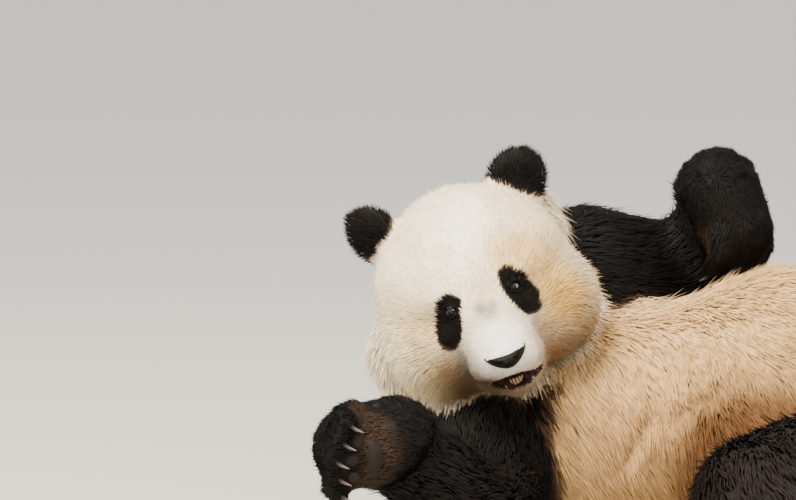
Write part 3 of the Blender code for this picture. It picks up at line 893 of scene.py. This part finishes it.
bend = root + (root_length * BEND_AT)[:, None] * rising
bend += sideways * (root_length * BEND_ASIDE * lumps(root, 14 * MM, 25))[:, None]
tip = bend + (root_length * (1 - BEND_AT))[:, None] * settling
tip[:, 2] -= TIP_SAG * root_length * ramp(root_length, 20 * MM, 34 * MM)
print("tufts reach up to", round(distance(tip, root).max() / MM), "mm")

# %% [markdown]
# Hair parts into locks. One tuft in twelve is a leader, and the tufts round it lean their tips and
# their bends towards its own. Where the animal lies on the floor, no tip goes under it.
# %% Gather the tips into locks
TUFTS_FOR_LEADER, LOWEST = 12, 1 * MM
PULL, MORE_PULL_ON_LONG, BEND_SHARE = 0.12, 0.20, 0.35

leaders = random.permutation(count)[:count // TUFTS_FOR_LEADER]
tree = KDTree(len(leaders))
for at, leader in enumerate(leaders):
    tree.insert(root[leader], at)
tree.balance()
leader = leaders[[tree.find(place)[1] for place in root]]
close = 1 - ramp(distance(root[leader], root), 0.3 * root_length, 0.9 * root_length)
pull = close * (PULL + MORE_PULL_ON_LONG * ramp(root_length, 6 * MM, 25 * MM))
pull *= random.uniform(0.5, 1.2, count)
tip += pull[:, None] * (tip[leader] - tip)
bend += BEND_SHARE * pull[:, None] * (bend[leader] - bend)
for place in (bend, tip):
    place[:, 2] = np.maximum(place[:, 2], LOWEST)
print("leaders:", len(leaders))

# %% [markdown]
# No hair grows on the lips, in the mouth, in the openings of the eyes, or under the nose pad. The
# pad's outline is a wedge, which is needed here and again when the pad is made.
# %% Bare places
NOSE_UP, NOSE_HALF, NOSE_THICK = -0.0528, (0.0330, 0.0108), 5.0 * MM
UNDER_PAD_WIDE, UNDER_PAD_HIGH, MUZZLE_FROM = 0.88, 0.92, 0.10
BARE_LIP, BARE_LID = 1.10, 1.12


def nose_taper(height):
    """The pad's width as a share of the widest, at a height from -1 at the lip to 1 at its top."""
    return 1 - 0.76 * ((1 - height) / 2) ** 1.05


def under_nose(places):
    forward, left, up = on_head(places).T
    height = (up - NOSE_UP) / NOSE_HALF[1]
    covered = np.abs(left) < UNDER_PAD_WIDE * NOSE_HALF[0] * nose_taper(height.clip(-1, 1))
    return (forward > MUZZLE_FROM) & (np.abs(height) < UNDER_PAD_HIGH) & covered


bare = (mouth_depth(root) < BARE_LIP) | under_nose(root)
for eye in eyes:
    bare |= eye.opening(root) < BARE_LID
print("bare roots:", bare.sum())

# %% [markdown]
# A tuft gets painted shade at its root, where little light comes, and is a little paler at its tip.
# Dark hair has brownish worn tips at random. Neighbouring tufts differ a little, and those between
# the pads of the palms differ most.
# %% Colours along a tuft
TONE_STRAY, TONE_LUMPS, PALM_STRAY = 0.09, 0.10, (-0.5, 0.7)
ROOT_SHADE, TIP_SHADE = np.array([0.94, 0.89, 0.80]), 1.08
WORN, WORN_SHARE = linear("#2c241e"), 0.22

tuft_colour, tuft_dark = markings(root, root_masks)
tuft_dark = tuft_dark[:, None]
shade = 1 + TONE_STRAY * random.normal(size=count) + TONE_LUMPS * lumps(root, 11 * MM, 31)
shade += root_masks["palm"] * random.uniform(*PALM_STRAY, count)
tuft_colour = tuft_colour * shade.clip(0.5, 1.6)[:, None]
shallow = (1 - ramp(root_length, 8 * MM, 30 * MM))[:, None]
# painted shade at the root of each tuft, less on dark and on short hair
root_shade = ROOT_SHADE + (1 - ROOT_SHADE) * np.maximum(0.5 * tuft_dark, 0.75 * shallow)
root_colour = tuft_colour * root_shade
tip_colour = tuft_colour * TIP_SHADE + tuft_dark * WORN * WORN_SHARE * random.random((count, 1))
print("mean colour of the tufts:", np.round(tuft_colour.mean(axis=0), 3))

# %% [markdown]
# A tuft is the same small pattern of six triangles over and over, so a whole piece of the coat is
# built from arrays in one go. Its normals lean towards those of the skin, so that the light falls
# softly over the coat and not on each spike. The coat is cut into pieces by sub-part, each under
# 200,000 triangles.
# %% Grow the coat
ROOT_SUNK, TUFT_DEPTH, GROUND_CLEAR = 0.5 * MM, 0.7, 0.2 * MM
PATTERN = np.array([(0, 2, 1), (0, 3, 2), (0, 1, 3), (1, 2, 4), (2, 3, 4), (3, 1, 4)])
UV_PATCH = 0.003 * np.array([(0.5, 0), (0, 0.4), (1, 0.4), (0.5, 0.5), (0.5, 1)])
SOFTNESS, MOST_TUFTS = 1.6, 32000


def grow(name, members):
    """One joined mesh of closed tufts, each a bent spindle."""
    across = sideways[members] * (width[members] / 2)[:, None]
    over = -TUFT_DEPTH * np.cross(across, unit(tip[members] - root[members]))
    base, knee, end = root[members] - ROOT_SUNK * root_normal[members], bend[members], tip[members]
    verts = np.stack([base, knee - across, knee + across, knee + over, end], axis=1)
    verts[:, :, 2] = np.maximum(verts[:, :, 2], GROUND_CLEAR)
    tris = (np.arange(len(members))[:, None, None] * 5 + PATTERN).reshape(-1, 3)
    mesh = bpy.data.meshes.new(name)
    mesh.vertices.add(len(members) * 5)
    mesh.vertices.foreach_set("co", verts.astype(np.float32).ravel())
    mesh.loops.add(len(tris) * 3)
    mesh.loops.foreach_set("vertex_index", tris.astype(np.int32).ravel())
    mesh.polygons.add(len(tris))
    mesh.polygons.foreach_set("loop_start", np.arange(0, len(tris) * 3, 3, dtype=np.int32))
    mesh.polygons.foreach_set("use_smooth", np.ones(len(tris), bool))
    mesh.update(calc_edges=True)
    obj = bpy.data.objects.new(name, mesh)
    bpy.context.collection.objects.link(obj)
    colours = np.stack([root_colour[members]] + [tuft_colour[members]] * 3 + [tip_colour[members]], axis=1)
    paint(obj, colours.reshape(-1, 3))
    uv = (root_uv[members][:, None] + UV_PATCH).reshape(-1, 2)[tris.ravel()]
    mesh.uv_layers.new(name="OFBake").data.foreach_set("uv", uv.astype(np.float32).ravel())
    soft = normals_of(obj).reshape(-1, 5, 3) + SOFTNESS * root_normal[members][:, None]
    mesh.normals_split_custom_set_from_vertices(unit(soft.reshape(-1, 3)))
    return obj


REGIONS = ("head", "neck", "trunk", "ear", "limb")
SLOTS = {"ear": "black_fur", "limb": "black_fur"}
region = np.argmax([root_masks[name] for name in REGIONS], axis=0)
coat = []
for index, name in enumerate(REGIONS):
    members = np.flatnonzero(~bare & (region == index))
    for part, some in enumerate(np.array_split(members, -(-len(members) // MOST_TUFTS)), 1):
        coat.append((grow(f"coat_{name}_{part}", some), SLOTS.get(name, "cream_fur")))
        print(coat[-1][0].name, len(some), "tufts")
print("coat:", (~bare).sum(), "tufts,", (~bare).sum() * len(PATTERN), "triangles")

# %% [markdown]
# ## Helpers for materials
# Each material is a small node tree around one Principled shader. `node` adds a node with its
# settings and its links, and every uniform value is set straight on the shader's own socket. The
# patterns read Object coordinates, which are metres on the animal itself.
# %% Material helpers
def colour(hex_colour):
    return (*linear(hex_colour), 1.0)


def material(name, **sockets):
    """A new Principled material with uniform values on its sockets."""
    made = bpy.data.materials.new(name)
    made.use_nodes = True
    shader = made.node_tree.nodes["Principled BSDF"]
    for socket, value in sockets.items():
        shader.inputs[socket.replace("_", " ")].default_value = value
    return made, made.node_tree, shader


def node(tree, kind, settings=None, **links):
    """Adds a node; a link is a socket, and any other value is set on the input."""
    made = tree.nodes.new("ShaderNode" + kind)
    for name, value in (settings or {}).items():
        setattr(made, name, value)
    for name, value in links.items():
        socket = made.inputs[int(name[1:]) if name[1:].isdigit() else name.replace("_", " ")]
        if isinstance(value, bpy.types.NodeSocket):
            tree.links.new(value, socket)
        else:
            socket.default_value = value
    return made


def painted(tree, shader):
    """Shows the colours that are stored on the mesh."""
    stored = node(tree, "Attribute", {"attribute_name": "coat"})
    tree.links.new(stored.outputs["Color"], shader.inputs["Base Color"])


def mottled(tree, shader, grain, detail, darkest, lightest):
    """Shows the stored colours with a fine grain, and gives both for further use."""
    place = node(tree, "TexCoord").outputs["Object"]
    stored = node(tree, "Attribute", {"attribute_name": "coat"}).outputs["Color"]
    noise = node(tree, "TexNoise", Vector=place, Scale=1 / grain, Detail=detail).outputs[0]
    share = node(tree, "MapRange", Value=noise, To_Min=darkest, To_Max=lightest).outputs[0]
    mixed = node(tree, "VectorMath", {"operation": "SCALE"}, i0=stored, Scale=share)
    tree.links.new(mixed.outputs[0], shader.inputs["Base Color"])
    return stored, noise


def pebbled(tree, shader, pebble, height, strength):
    """Bump from small cells, as on leather."""
    place = node(tree, "TexCoord").outputs["Object"]
    cells = node(tree, "TexVoronoi", {"feature": "SMOOTH_F1"}, Vector=place, Scale=1 / pebble, Smoothness=0.6)
    bump = node(tree, "Bump", Height=cells.outputs["Distance"], Distance=height, Strength=strength)
    tree.links.new(bump.outputs[0], shader.inputs["Normal"])


# %% [markdown]
# ## Hair
# A panda's hair is coarse and hollow, and it scatters light more than it shines. The colour comes
# from the markings stored on each tuft, from a shaded root to a paler tip, with a grain of 4 mm.
# Gloss and sheen follow the brightness of the hair: on dark hair they are weak, or the flat faces of
# the tufts would turn the black grey.
# %% Hair materials
HAIR_GRAIN, LEAST_SHINE = 4 * MM, 0.3


def hair(name, roughness, gloss, sheen, sheen_colour):
    soft = {"Sheen_Roughness": 0.45, "Sheen_Tint": colour(sheen_colour)}
    made, tree, shader = material(name, Roughness=roughness, **soft)
    stored = mottled(tree, shader, HAIR_GRAIN, 3.0, 0.90, 1.10)[0]
    brightness = node(tree, "VectorMath", {"operation": "LENGTH"}, i0=stored).outputs["Value"]
    for socket, most in (("Specular IOR Level", gloss), ("Sheen Weight", sheen)):
        share = node(tree, "MapRange", Value=brightness, From_Max=1.0, To_Min=LEAST_SHINE * most, To_Max=most)
        tree.links.new(share.outputs[0], shader.inputs[socket])
    return made


HAIR = {
    "cream_fur": hair("cream guard hair", 0.78, 0.25, 0.10, "#fff6e6"),
    "black_fur": hair("black guard hair", 0.62, 0.40, 0.06, "#8a8078"),
}
for obj, slot in coat:
    obj.data.materials.append(HAIR[slot])
    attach(obj, "root")
print("pieces of the coat:", len(coat))

# %% [markdown]
# The skin under the coat carries the same markings. It is bare only on the lips, in the mouth and
# round the eyes, where it is dark and finely wrinkled, so it gets a pebbled bump at the scale of
# skin, about a millimetre.
# %% Skin material
hide, tree, shader = material("panda hide", Roughness=0.8, Specular_IOR_Level=0.10)
painted(tree, shader)
pebbled(tree, shader, 1.2 * MM, 0.3 * MM, 0.5)
skin.data.materials.append(hide)
smooth(skin)
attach(skin, "root")
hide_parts(*FLESH)
print("skin replaces", len(FLESH), "nodes")

# %% [markdown]
# ## Eyes
# A panda's eye is small and brown, with an upright slit for a pupil, and dark lids close in round
# it. The ball is a sphere with a raised cornea. Rings of colour are stored on its points: pupil, brown
# iris, dark rim, and the dull white that shows only in the corners. A clear coat gives the wet gloss.
# %% Eyeballs
IRIS, PUPIL, CORNEA_RISE = 5.0 * MM, (1.3 * MM, 2.6 * MM), 0.6 * MM
EYE_WHITE, IRIS_RIM, IRIS_BROWN = linear("#978c94"), linear("#0a0605"), linear("#170e09")
PUPIL_BLACK, BALL_BACK = linear("#020202"), linear("#1a100c")
RAYS, RAY_DEPTH = 36, 0.25
# how far each iris lies across and up from the middle of its opening
GAZES = {"left": (-2.3 * MM, -0.3 * MM), "right": (-0.8 * MM, -0.3 * MM)}


def eyeball(eye):
    ball = sphere(f"eyeball_{eye.side}", 64, 40, EYE_RADIUS)
    up, out, across = points_of(ball).T
    aside, above = across - GAZES[eye.side][0], up - GAZES[eye.side][1]
    off = np.hypot(aside, above)
    cornea = CORNEA_RISE * (1 - ramp(off, 0.6 * IRIS, 1.15 * IRIS)) * (out > 0)
    set_points(ball, eye.world(across, up, out + cornea))
    face_outwards(ball)
    smooth(ball)
    rays = 1 - RAY_DEPTH + RAY_DEPTH * np.sin(RAYS * np.arctan2(above, aside))
    slit = np.hypot(aside / PUPIL[0], above / PUPIL[1])
    tone = mix(EYE_WHITE, ramp(-off, -1.16 * IRIS, -1.02 * IRIS), IRIS_RIM)
    tone = mix(tone, ramp(-off, -0.90 * IRIS, -0.74 * IRIS), IRIS_BROWN * rays[:, None])
    tone = mix(tone, ramp(-slit, -1.25, -0.9), PUPIL_BLACK)
    paint(ball, np.where(out[:, None] > 0, tone, BALL_BACK))
    return ball


gloss = {"Specular_IOR_Level": 0.05, "Coat_Weight": 0.7, "Coat_Roughness": 0.03}
wet, tree, shader = material("glass eye", Roughness=0.3, **gloss)
painted(tree, shader)
for eye in eyes:
    ball = eyeball(eye)
    ball.data.materials.append(wet)
    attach(ball, "root")
    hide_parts(f"eye_{eye.side}")
    print(ball.name, len(ball.data.polygons), "faces")

# %% [markdown]
# The rim of the lids is a bare black edge. It is a torus drawn onto the ball: its round path becomes
# the almond of the opening, pointed at both corners, and the tube lies on the ball.
# %% Lid rims
RIM, RIM_LIFT, TORUS_TUBE = 0.9 * MM, 0.5 * MM, 0.25
CORNER_LONGER, CORNER_FLATTER = 0.10, 0.18


def lid_rim(eye):
    bpy.ops.object.select_all(action="DESELECT")
    rings = {"major_segments": 72, "minor_segments": 12}
    bpy.ops.mesh.primitive_torus_add(**rings, major_radius=1.0, minor_radius=TORUS_TUBE)
    rim = named(bpy.context.object, f"lid_rim_{eye.side}")
    x, y, z = points_of(rim).T
    turn = np.arctan2(y, x)
    tube = RIM * (np.hypot(x, y) - 1.0) / TORUS_TUBE
    across = (OPENING[0] * (1 + CORNER_LONGER * np.cos(turn) ** 4) + tube) * np.cos(turn)
    up = (OPENING[1] * (1 - CORNER_FLATTER * np.cos(turn) ** 2) + tube) * np.sin(turn)
    reach = EYE_RADIUS + RIM_LIFT + RIM * z / TORUS_TUBE
    out = np.sqrt(np.maximum(reach ** 2 - across ** 2 - up ** 2, 0))
    set_points(rim, eye.world(across, up, out))
    face_outwards(rim)
    smooth(rim)
    return rim


dull = {"Roughness": 0.55, "Specular_IOR_Level": 0.10}
lid_skin, tree, shader = material("moist lid skin", Base_Color=colour("#0a0706"), **dull)
pebbled(tree, shader, 0.7 * MM, 0.1 * MM, 0.4)
for eye in eyes:
    rim = lid_rim(eye)
    rim.data.materials.append(lid_skin)
    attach(rim, "root")
    print(rim.name, len(rim.data.polygons), "faces")

# %% [markdown]
# ## Nose
# The nose pad is bare leather: a wedge that is wide above and narrow at the lip, with two comma-shaped
# nostrils and a groove between them. It starts as a sphere, is shaped to the wedge, and is
# laid over the muzzle by casting each of its points onto the skin.
# %% Nose pad
NOSTRIL_AT, NOSTRIL_HALF, NOSTRIL_LEAN = (0.0145, -0.0545), (0.0066, 0.0040), 0.45
NOSTRIL_DEEP, TAIL_DEEP, WING_HIGH, GROOVE_DEEP = 3.0 * MM, 1.0 * MM, 0.8 * MM, 1.4 * MM
TAIL_ASIDE, TAIL_UP, TAIL_HALF = 7 * MM, 1 * MM, (6 * MM, 1.3 * MM)
WING_AT, WING_WIDE, GROOVE_WIDE, GROOVE_TOP = 1.45, 0.4, 1.1 * MM, (0.046, 0.054)
TOP_SAG, BACK_INSET, RAY_FROM, NO_SKIN = 2.2 * MM, 3 * MM, 0.30, 0.10
NOSE_BLACK, NOSE_SHEEN, NOSTRIL_SHADE = linear("#070504"), linear("#151110"), linear("#020101")

skin_faces = [list(face.vertices) for face in skin.data.polygons]
skin_form = BVHTree.FromPolygons([Vector(point) for point in points], skin_faces)


def on_skin(left, up):
    """How far forward the skin is at a place on the front of the head."""
    hit = skin_form.ray_cast(Vector(from_head((RAY_FROM, left, up))), -head_forward)[0]
    return on_head([hit])[0, 0] if hit else NO_SKIN


def nostril(aside, above):
    """The pit of a nostril, the tail of its comma, and the wing round it, each from 0 to 1."""
    off = np.hypot(aside / NOSTRIL_HALF[0], above / NOSTRIL_HALF[1])
    tail = np.hypot((aside - TAIL_ASIDE) / TAIL_HALF[0], (above - TAIL_UP) / TAIL_HALF[1])
    return np.exp(-(off ** 4)), mound(tail, 1), mound(off - WING_AT, WING_WIDE)


def nose_pad():
    pad = sphere("nose_pad", 96, 72)
    ahead, left, up = points_of(pad).T
    ring = np.sqrt(np.maximum(1 - up ** 2, 1e-6))
    fullness = np.sqrt(1 - np.abs(up) ** np.where(up > 0, 7, 3.5))
    left_at = NOSE_HALF[0] * nose_taper(up) * fullness * left / ring
    sag = TOP_SAG * np.cos(np.clip(left_at / NOSE_HALF[0], -1, 1) * math.pi)
    up_at = NOSE_UP + NOSE_HALF[1] * up - sag * ramp(up, -0.2, 0.9)
    dome = np.clip(ahead / ring, 0, 1) ** 0.7 * fullness
    ground = np.array([on_skin(*place) for place in zip(left_at, up_at)])
    forward = ground + NOSE_THICK * dome - BACK_INSET * (ahead < 0)
    groove = mound(left_at, GROOVE_WIDE) * ramp(-up_at, *GROOVE_TOP)
    # The groove and the nostrils are painted darker, as painted shade in these hollows.
    hollow_shade = 0.7 * groove
    for sign in SIGNS.values():
        aside = left_at * sign - NOSTRIL_AT[0]
        pit, tail, wing = nostril(aside, up_at - NOSTRIL_AT[1] + NOSTRIL_LEAN * aside)
        forward += (ahead >= 0) * (wing * WING_HIGH - pit * NOSTRIL_DEEP - tail * TAIL_DEEP) * dome
        hollow_shade = np.maximum.reduce([hollow_shade, pit, 0.5 * tail])
    forward -= groove * GROOVE_DEEP * (ahead >= 0)
    set_points(pad, from_head(np.column_stack([forward, left_at, up_at])))
    # A painted sheen: the upper middle of the pad is painted paler.
    painted_sheen = ramp(up, -0.1, 0.9) * (1 - np.abs(left_at / NOSE_HALF[0]))
    paint(pad, mix(mix(NOSE_BLACK, painted_sheen, NOSE_SHEEN), hollow_shade, NOSTRIL_SHADE))
    face_outwards(pad, merge=True)
    smooth(pad)
    return pad


nose = nose_pad()
leather, tree, shader = material("nose leather", Roughness=0.55, Specular_IOR_Level=0.10)
painted(tree, shader)
pebbled(tree, shader, 1.3 * MM, 0.30 * MM, 0.6)
nose.data.materials.append(leather)
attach(nose, "root")
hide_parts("nose")
print("nose pad:", len(nose.data.polygons), "faces")

# %% [markdown]
# ## Teeth and tongue
# The mouth stands a little open, and the lower front teeth show in it: small worn incisors between two
# canines, stained by what the animal eats. Each tooth is a cylinder, subdivided, tapered, bent a little
# forward and rounded, and they stand along the arc of the jaw.
# %% Lower teeth
TEETH, TEETH_ARC, ARC_SIZE, TEETH_AT = 8, math.radians(62), (0.0095, 0.0140), (0.1150, 0.0000, -0.0985)
# height, half width at the root and at the tip
INCISOR, CANINE = (11.5 * MM, 2.0 * MM, 1.5 * MM), (13.5 * MM, 2.8 * MM, 1.2 * MM)
FLATNESS, CROWN_ROUND, FORWARD_BEND = 0.75, 0.35, 1.5 * MM


def tooth(angle, height, root_width, tip_width):
    bpy.ops.object.select_all(action="DESELECT")
    bpy.ops.mesh.primitive_cylinder_add(vertices=16, radius=1.0, depth=1.0, location=(0, 0, 0.5))
    made = bpy.context.object
    bpy.ops.object.transform_apply(location=True)
    bpy.ops.object.mode_set(mode="EDIT")
    bpy.ops.mesh.select_all(action="SELECT")
    bpy.ops.mesh.subdivide(number_cuts=3)
    bpy.ops.object.mode_set(mode="OBJECT")
    x, y, z = points_of(made).T
    wide = (root_width + (tip_width - root_width) * z ** 1.5) * (1 - CROWN_ROUND * ramp(z, 0.8, 1.0))
    forward = ARC_SIZE[0] * math.cos(angle) + FLATNESS * wide * x + FORWARD_BEND * z ** 2
    left = ARC_SIZE[1] * math.sin(angle) + wide * y
    set_points(made, from_head(TEETH_AT + np.column_stack([forward, left, height * z])))
    return made


row = []
for index in range(TEETH):
    shape = CANINE if index in (0, TEETH - 1) else INCISOR
    row.append(tooth(TEETH_ARC * (2 * index / (TEETH - 1) - 1), *shape))
only(*row)
bpy.ops.object.join()
teeth = named(bpy.context.object, "lower_teeth")
apply(teeth, "SUBSURF", levels=1, render_levels=1)
smooth(teeth)
enamel, tree, shader = material("stained enamel", Roughness=0.28, Specular_IOR_Level=0.5, Coat_Weight=0.3)
place = node(tree, "TexCoord").outputs["Object"]
spot = node(tree, "TexNoise", Vector=place, Scale=1 / (5 * MM), Detail=3.0).outputs[0]
stained = {"Factor": spot, "i6": colour("#c2a478"), "i7": colour("#84603a")}
tone = node(tree, "Mix", {"data_type": "RGBA"}, **stained)
tree.links.new(tone.outputs[2], shader.inputs["Base Color"])
teeth.data.materials.append(enamel)
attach(teeth, "root")
print("teeth:", TEETH)

# %% [markdown]
# Behind the teeth lies the tongue, a flat ball with a groove along its middle.
# %% Tongue
TONGUE_AT, TONGUE_SIZE = (0.092, 0.0, -0.100), (0.032, 0.015, 0.007)
TONGUE_GROOVE, GROOVE_REACH = 0.35, 0.22

tongue = sphere("tongue", 40, 24)
x, y, z = points_of(tongue).T
grooved = z - TONGUE_GROOVE * mound(y, GROOVE_REACH) * (z > 0)
set_points(tongue, from_head(TONGUE_AT + np.column_stack([x, y, grooved]) * TONGUE_SIZE))
smooth(tongue)
flesh, tree, shader = material("tongue flesh", Base_Color=colour("#7d4640"), Roughness=0.38, Coat_Weight=0.4)
pebbled(tree, shader, 0.9 * MM, 0.3 * MM, 0.7)
tongue.data.materials.append(flesh)
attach(tongue, "root")
print("tongue:", len(tongue.data.polygons), "faces")

# %% [markdown]
# ## Claws
# A panda's claws are grey-brown horn, paler at the tip, with growth lines round them. The form already
# has each claw's true size and hook, so a copy of it is merged and smoothed by a subdivision surface.
# %% Copy and smooth the claws
CLAW_ROOT, CLAW_TIP, CLAW_OUT = linear("#1b1715"), linear("#564d46"), (1 * MM, 14 * MM)
PAWS = tuple(PAW_BACKS)


def claw(name):
    """A smooth copy of one claw, coloured by its distance from the toe."""
    made = copy_form(name.replace("claw", "horn"), name)
    apply(made, "SUBSURF", levels=2, render_levels=2)
    smooth(made)
    out = np.array([form.find_nearest(Vector(place))[3] for place in points_of(made)])
    paint(made, mix(CLAW_ROOT, ramp(out, *CLAW_OUT), CLAW_TIP))
    return made


horn, tree, shader = material("claw horn", Roughness=0.5, Specular_IOR_Level=0.25)
streaks = mottled(tree, shader, 1.5 * MM, 4.0, 0.75, 1.25)[1]
bump = node(tree, "Bump", Height=streaks, Distance=0.2 * MM, Strength=0.4)
tree.links.new(bump.outputs[0], shader.inputs["Normal"])
for paw in PAWS:
    for toe in TOES:
        made = claw(f"claw_{paw}_{toe}")
        made.data.materials.append(horn)
        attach(made, "root")
        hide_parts(f"claw_{paw}_{toe}")
print("claws:", len(PAWS) * len(TOES))

# %% [markdown]
# ## Pads
# A panda walks on bare leathery pads with thick fur between them: one broad pad across the palm, one
# under each toe, and on the forepaw the pad of the false thumb at the wrist. Each pad starts as a
# sphere and is cast onto the skin, so that it bulges through the fur.
# %% Pads of the paws
PAD_LIFT, PAD_SINK, PAD_RAY = 8 * MM, 4 * MM, 0.12
# along the paw, across it, half length, half width
PALM_PAD, THUMB_PAD = (0.062, 0.0, 0.012, 0.030), (0.036, -0.042, 0.011, 0.013)
BEFORE_CLAW, TOE_PAD = 0.020, (0.010, 0.0085)


def paw_axes(paw):
    """Along the paw to its toes, across it, and out of its pads."""
    under = -unit(np.array(PAW_BACKS[paw]))
    along_it = claws_of(paw).mean(axis=0) - WRISTS[paw]
    along_it = unit(along_it - under * (along_it @ under))
    return along_it, np.cross(under, along_it), under


def pad(paw, place, across_at, half_long, half_wide):
    """One pad, laid on the skin of the paw's under side."""
    along_it, across, under = paw_axes(paw)
    made = sphere("pad", 28, 18)
    x, y, z = points_of(made).T
    flat = WRISTS[paw] + np.outer(place + half_long * x, along_it)
    flat += np.outer(across_at + half_wide * y, across)
    laid = []
    for point, lift in zip(flat, np.where(z > 0, PAD_LIFT, PAD_SINK) * z):
        hit = skin_form.ray_cast(Vector(point + PAD_RAY * under), Vector(-under))[0]
        laid.append(np.array(hit if hit else point) + lift * under)
    set_points(made, laid)
    return made


def pads(paw):
    """All pads of a paw as one piece."""
    along_it, across, under = paw_axes(paw)
    parts = [pad(paw, *PALM_PAD)]
    if paw.startswith("fore"):
        parts.append(pad(paw, *THUMB_PAD))
    for away in claws_of(paw) - WRISTS[paw]:
        parts.append(pad(paw, away @ along_it - BEFORE_CLAW, away @ across, *TOE_PAD))
    only(*parts)
    bpy.ops.object.join()
    made = named(bpy.context.object, f"pads_{paw}")
    face_outwards(made)
    apply(made, "SMOOTH", factor=0.5, iterations=3)
    smooth(made)
    return made


rough = {"Roughness": 0.75, "Specular_IOR_Level": 0.15}
pad_skin, tree, shader = material("pad leather", Base_Color=colour("#191411"), **rough)
pebbled(tree, shader, 1.6 * MM, 0.4 * MM, 0.8)
for paw in PAWS:
    made = pads(paw)
    made.data.materials.append(pad_skin)
    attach(made, "root")
print("pads on", len(PAWS), "paws")

# %% [markdown]
# ## Floor, light and camera
# The model lies on a plain pale floor that runs on past the edge of the view, so that no horizon cuts
# the picture. The floor is matt paper, with a fibre too fine to shine.
# %% Floor
FLOOR_SIZE = 60.0

bpy.ops.object.select_all(action="DESELECT")
bpy.ops.mesh.primitive_plane_add(size=FLOOR_SIZE, location=(0, 0, 0))
floor = named(bpy.context.object, "studio_floor")
plain = {"Base_Color": colour("#cfcbc1"), "Roughness": 0.9, "Specular_IOR_Level": 0.2}
paper, tree, shader = material("matt studio paper", **plain)
place = node(tree, "TexCoord").outputs["Object"]
fibre = node(tree, "TexNoise", Vector=place, Scale=1 / (3 * MM), Detail=2.0).outputs[0]
bump = node(tree, "Bump", Height=fibre, Distance=0.1 * MM, Strength=0.2)
tree.links.new(bump.outputs[0], shader.inputs["Normal"])
floor.data.materials.append(paper)
print("floor:", FLOOR_SIZE, "m across")

# %% [markdown]
# A big soft lamp stands high on the left, a weaker warm one on the right fills the shade, and a pale
# world gives the light of a bright room.
# %% Lights
WORLD_STRENGTH = 1.55


def lamp(name, place, aim, power, size, tone):
    """A square soft light that looks at a point."""
    bpy.ops.object.light_add(type="AREA", location=place)
    made = named(bpy.context.object, name)
    made.rotation_euler = (Vector(aim) - Vector(place)).to_track_quat("-Z", "Y").to_euler()
    made.data.energy, made.data.size = power, size
    made.data.color = linear(tone)


lamp("key_lamp", (-1.3, -2.0, 2.7), (-0.25, 0, 0.25), 330, 1.5, "#fff3e2")
lamp("fill_lamp", (2.4, -1.6, 1.6), (-0.1, 0, 0.25), 50, 2.0, "#ffe9d2")
world = bpy.data.worlds.new("bright room")
world.use_nodes = True
background = world.node_tree.nodes["Background"]
background.inputs["Color"].default_value = colour("#f3f5f7")
background.inputs["Strength"].default_value = WORLD_STRENGTH
bpy.context.scene.world = world
print("lamps:", len(bpy.data.lights))

# %% [markdown]
# The camera looks along the floor from the animal's front, tipped a little down, from 4.5 m away with
# a long lens. It is aimed to the left of the animal, so the head stands right of the middle.
# %% Camera
FACING_DOWN, CAMERA_AWAY, LENS = math.radians(8), 4.5, 157.4
VIEW_CENTRE = Vector((-0.5034, -0.0910, 0.4091))

looking = Vector((0, math.cos(FACING_DOWN), -math.sin(FACING_DOWN)))
bpy.ops.object.camera_add(location=VIEW_CENTRE - CAMERA_AWAY * looking)
camera = named(bpy.context.object, "camera")
camera.rotation_euler = looking.to_track_quat("-Z", "Y").to_euler()
camera.data.lens = LENS
bpy.context.scene.camera = camera
print("head in view, from the centre:", round(head_at.x - VIEW_CENTRE.x, 2), "m to the right")
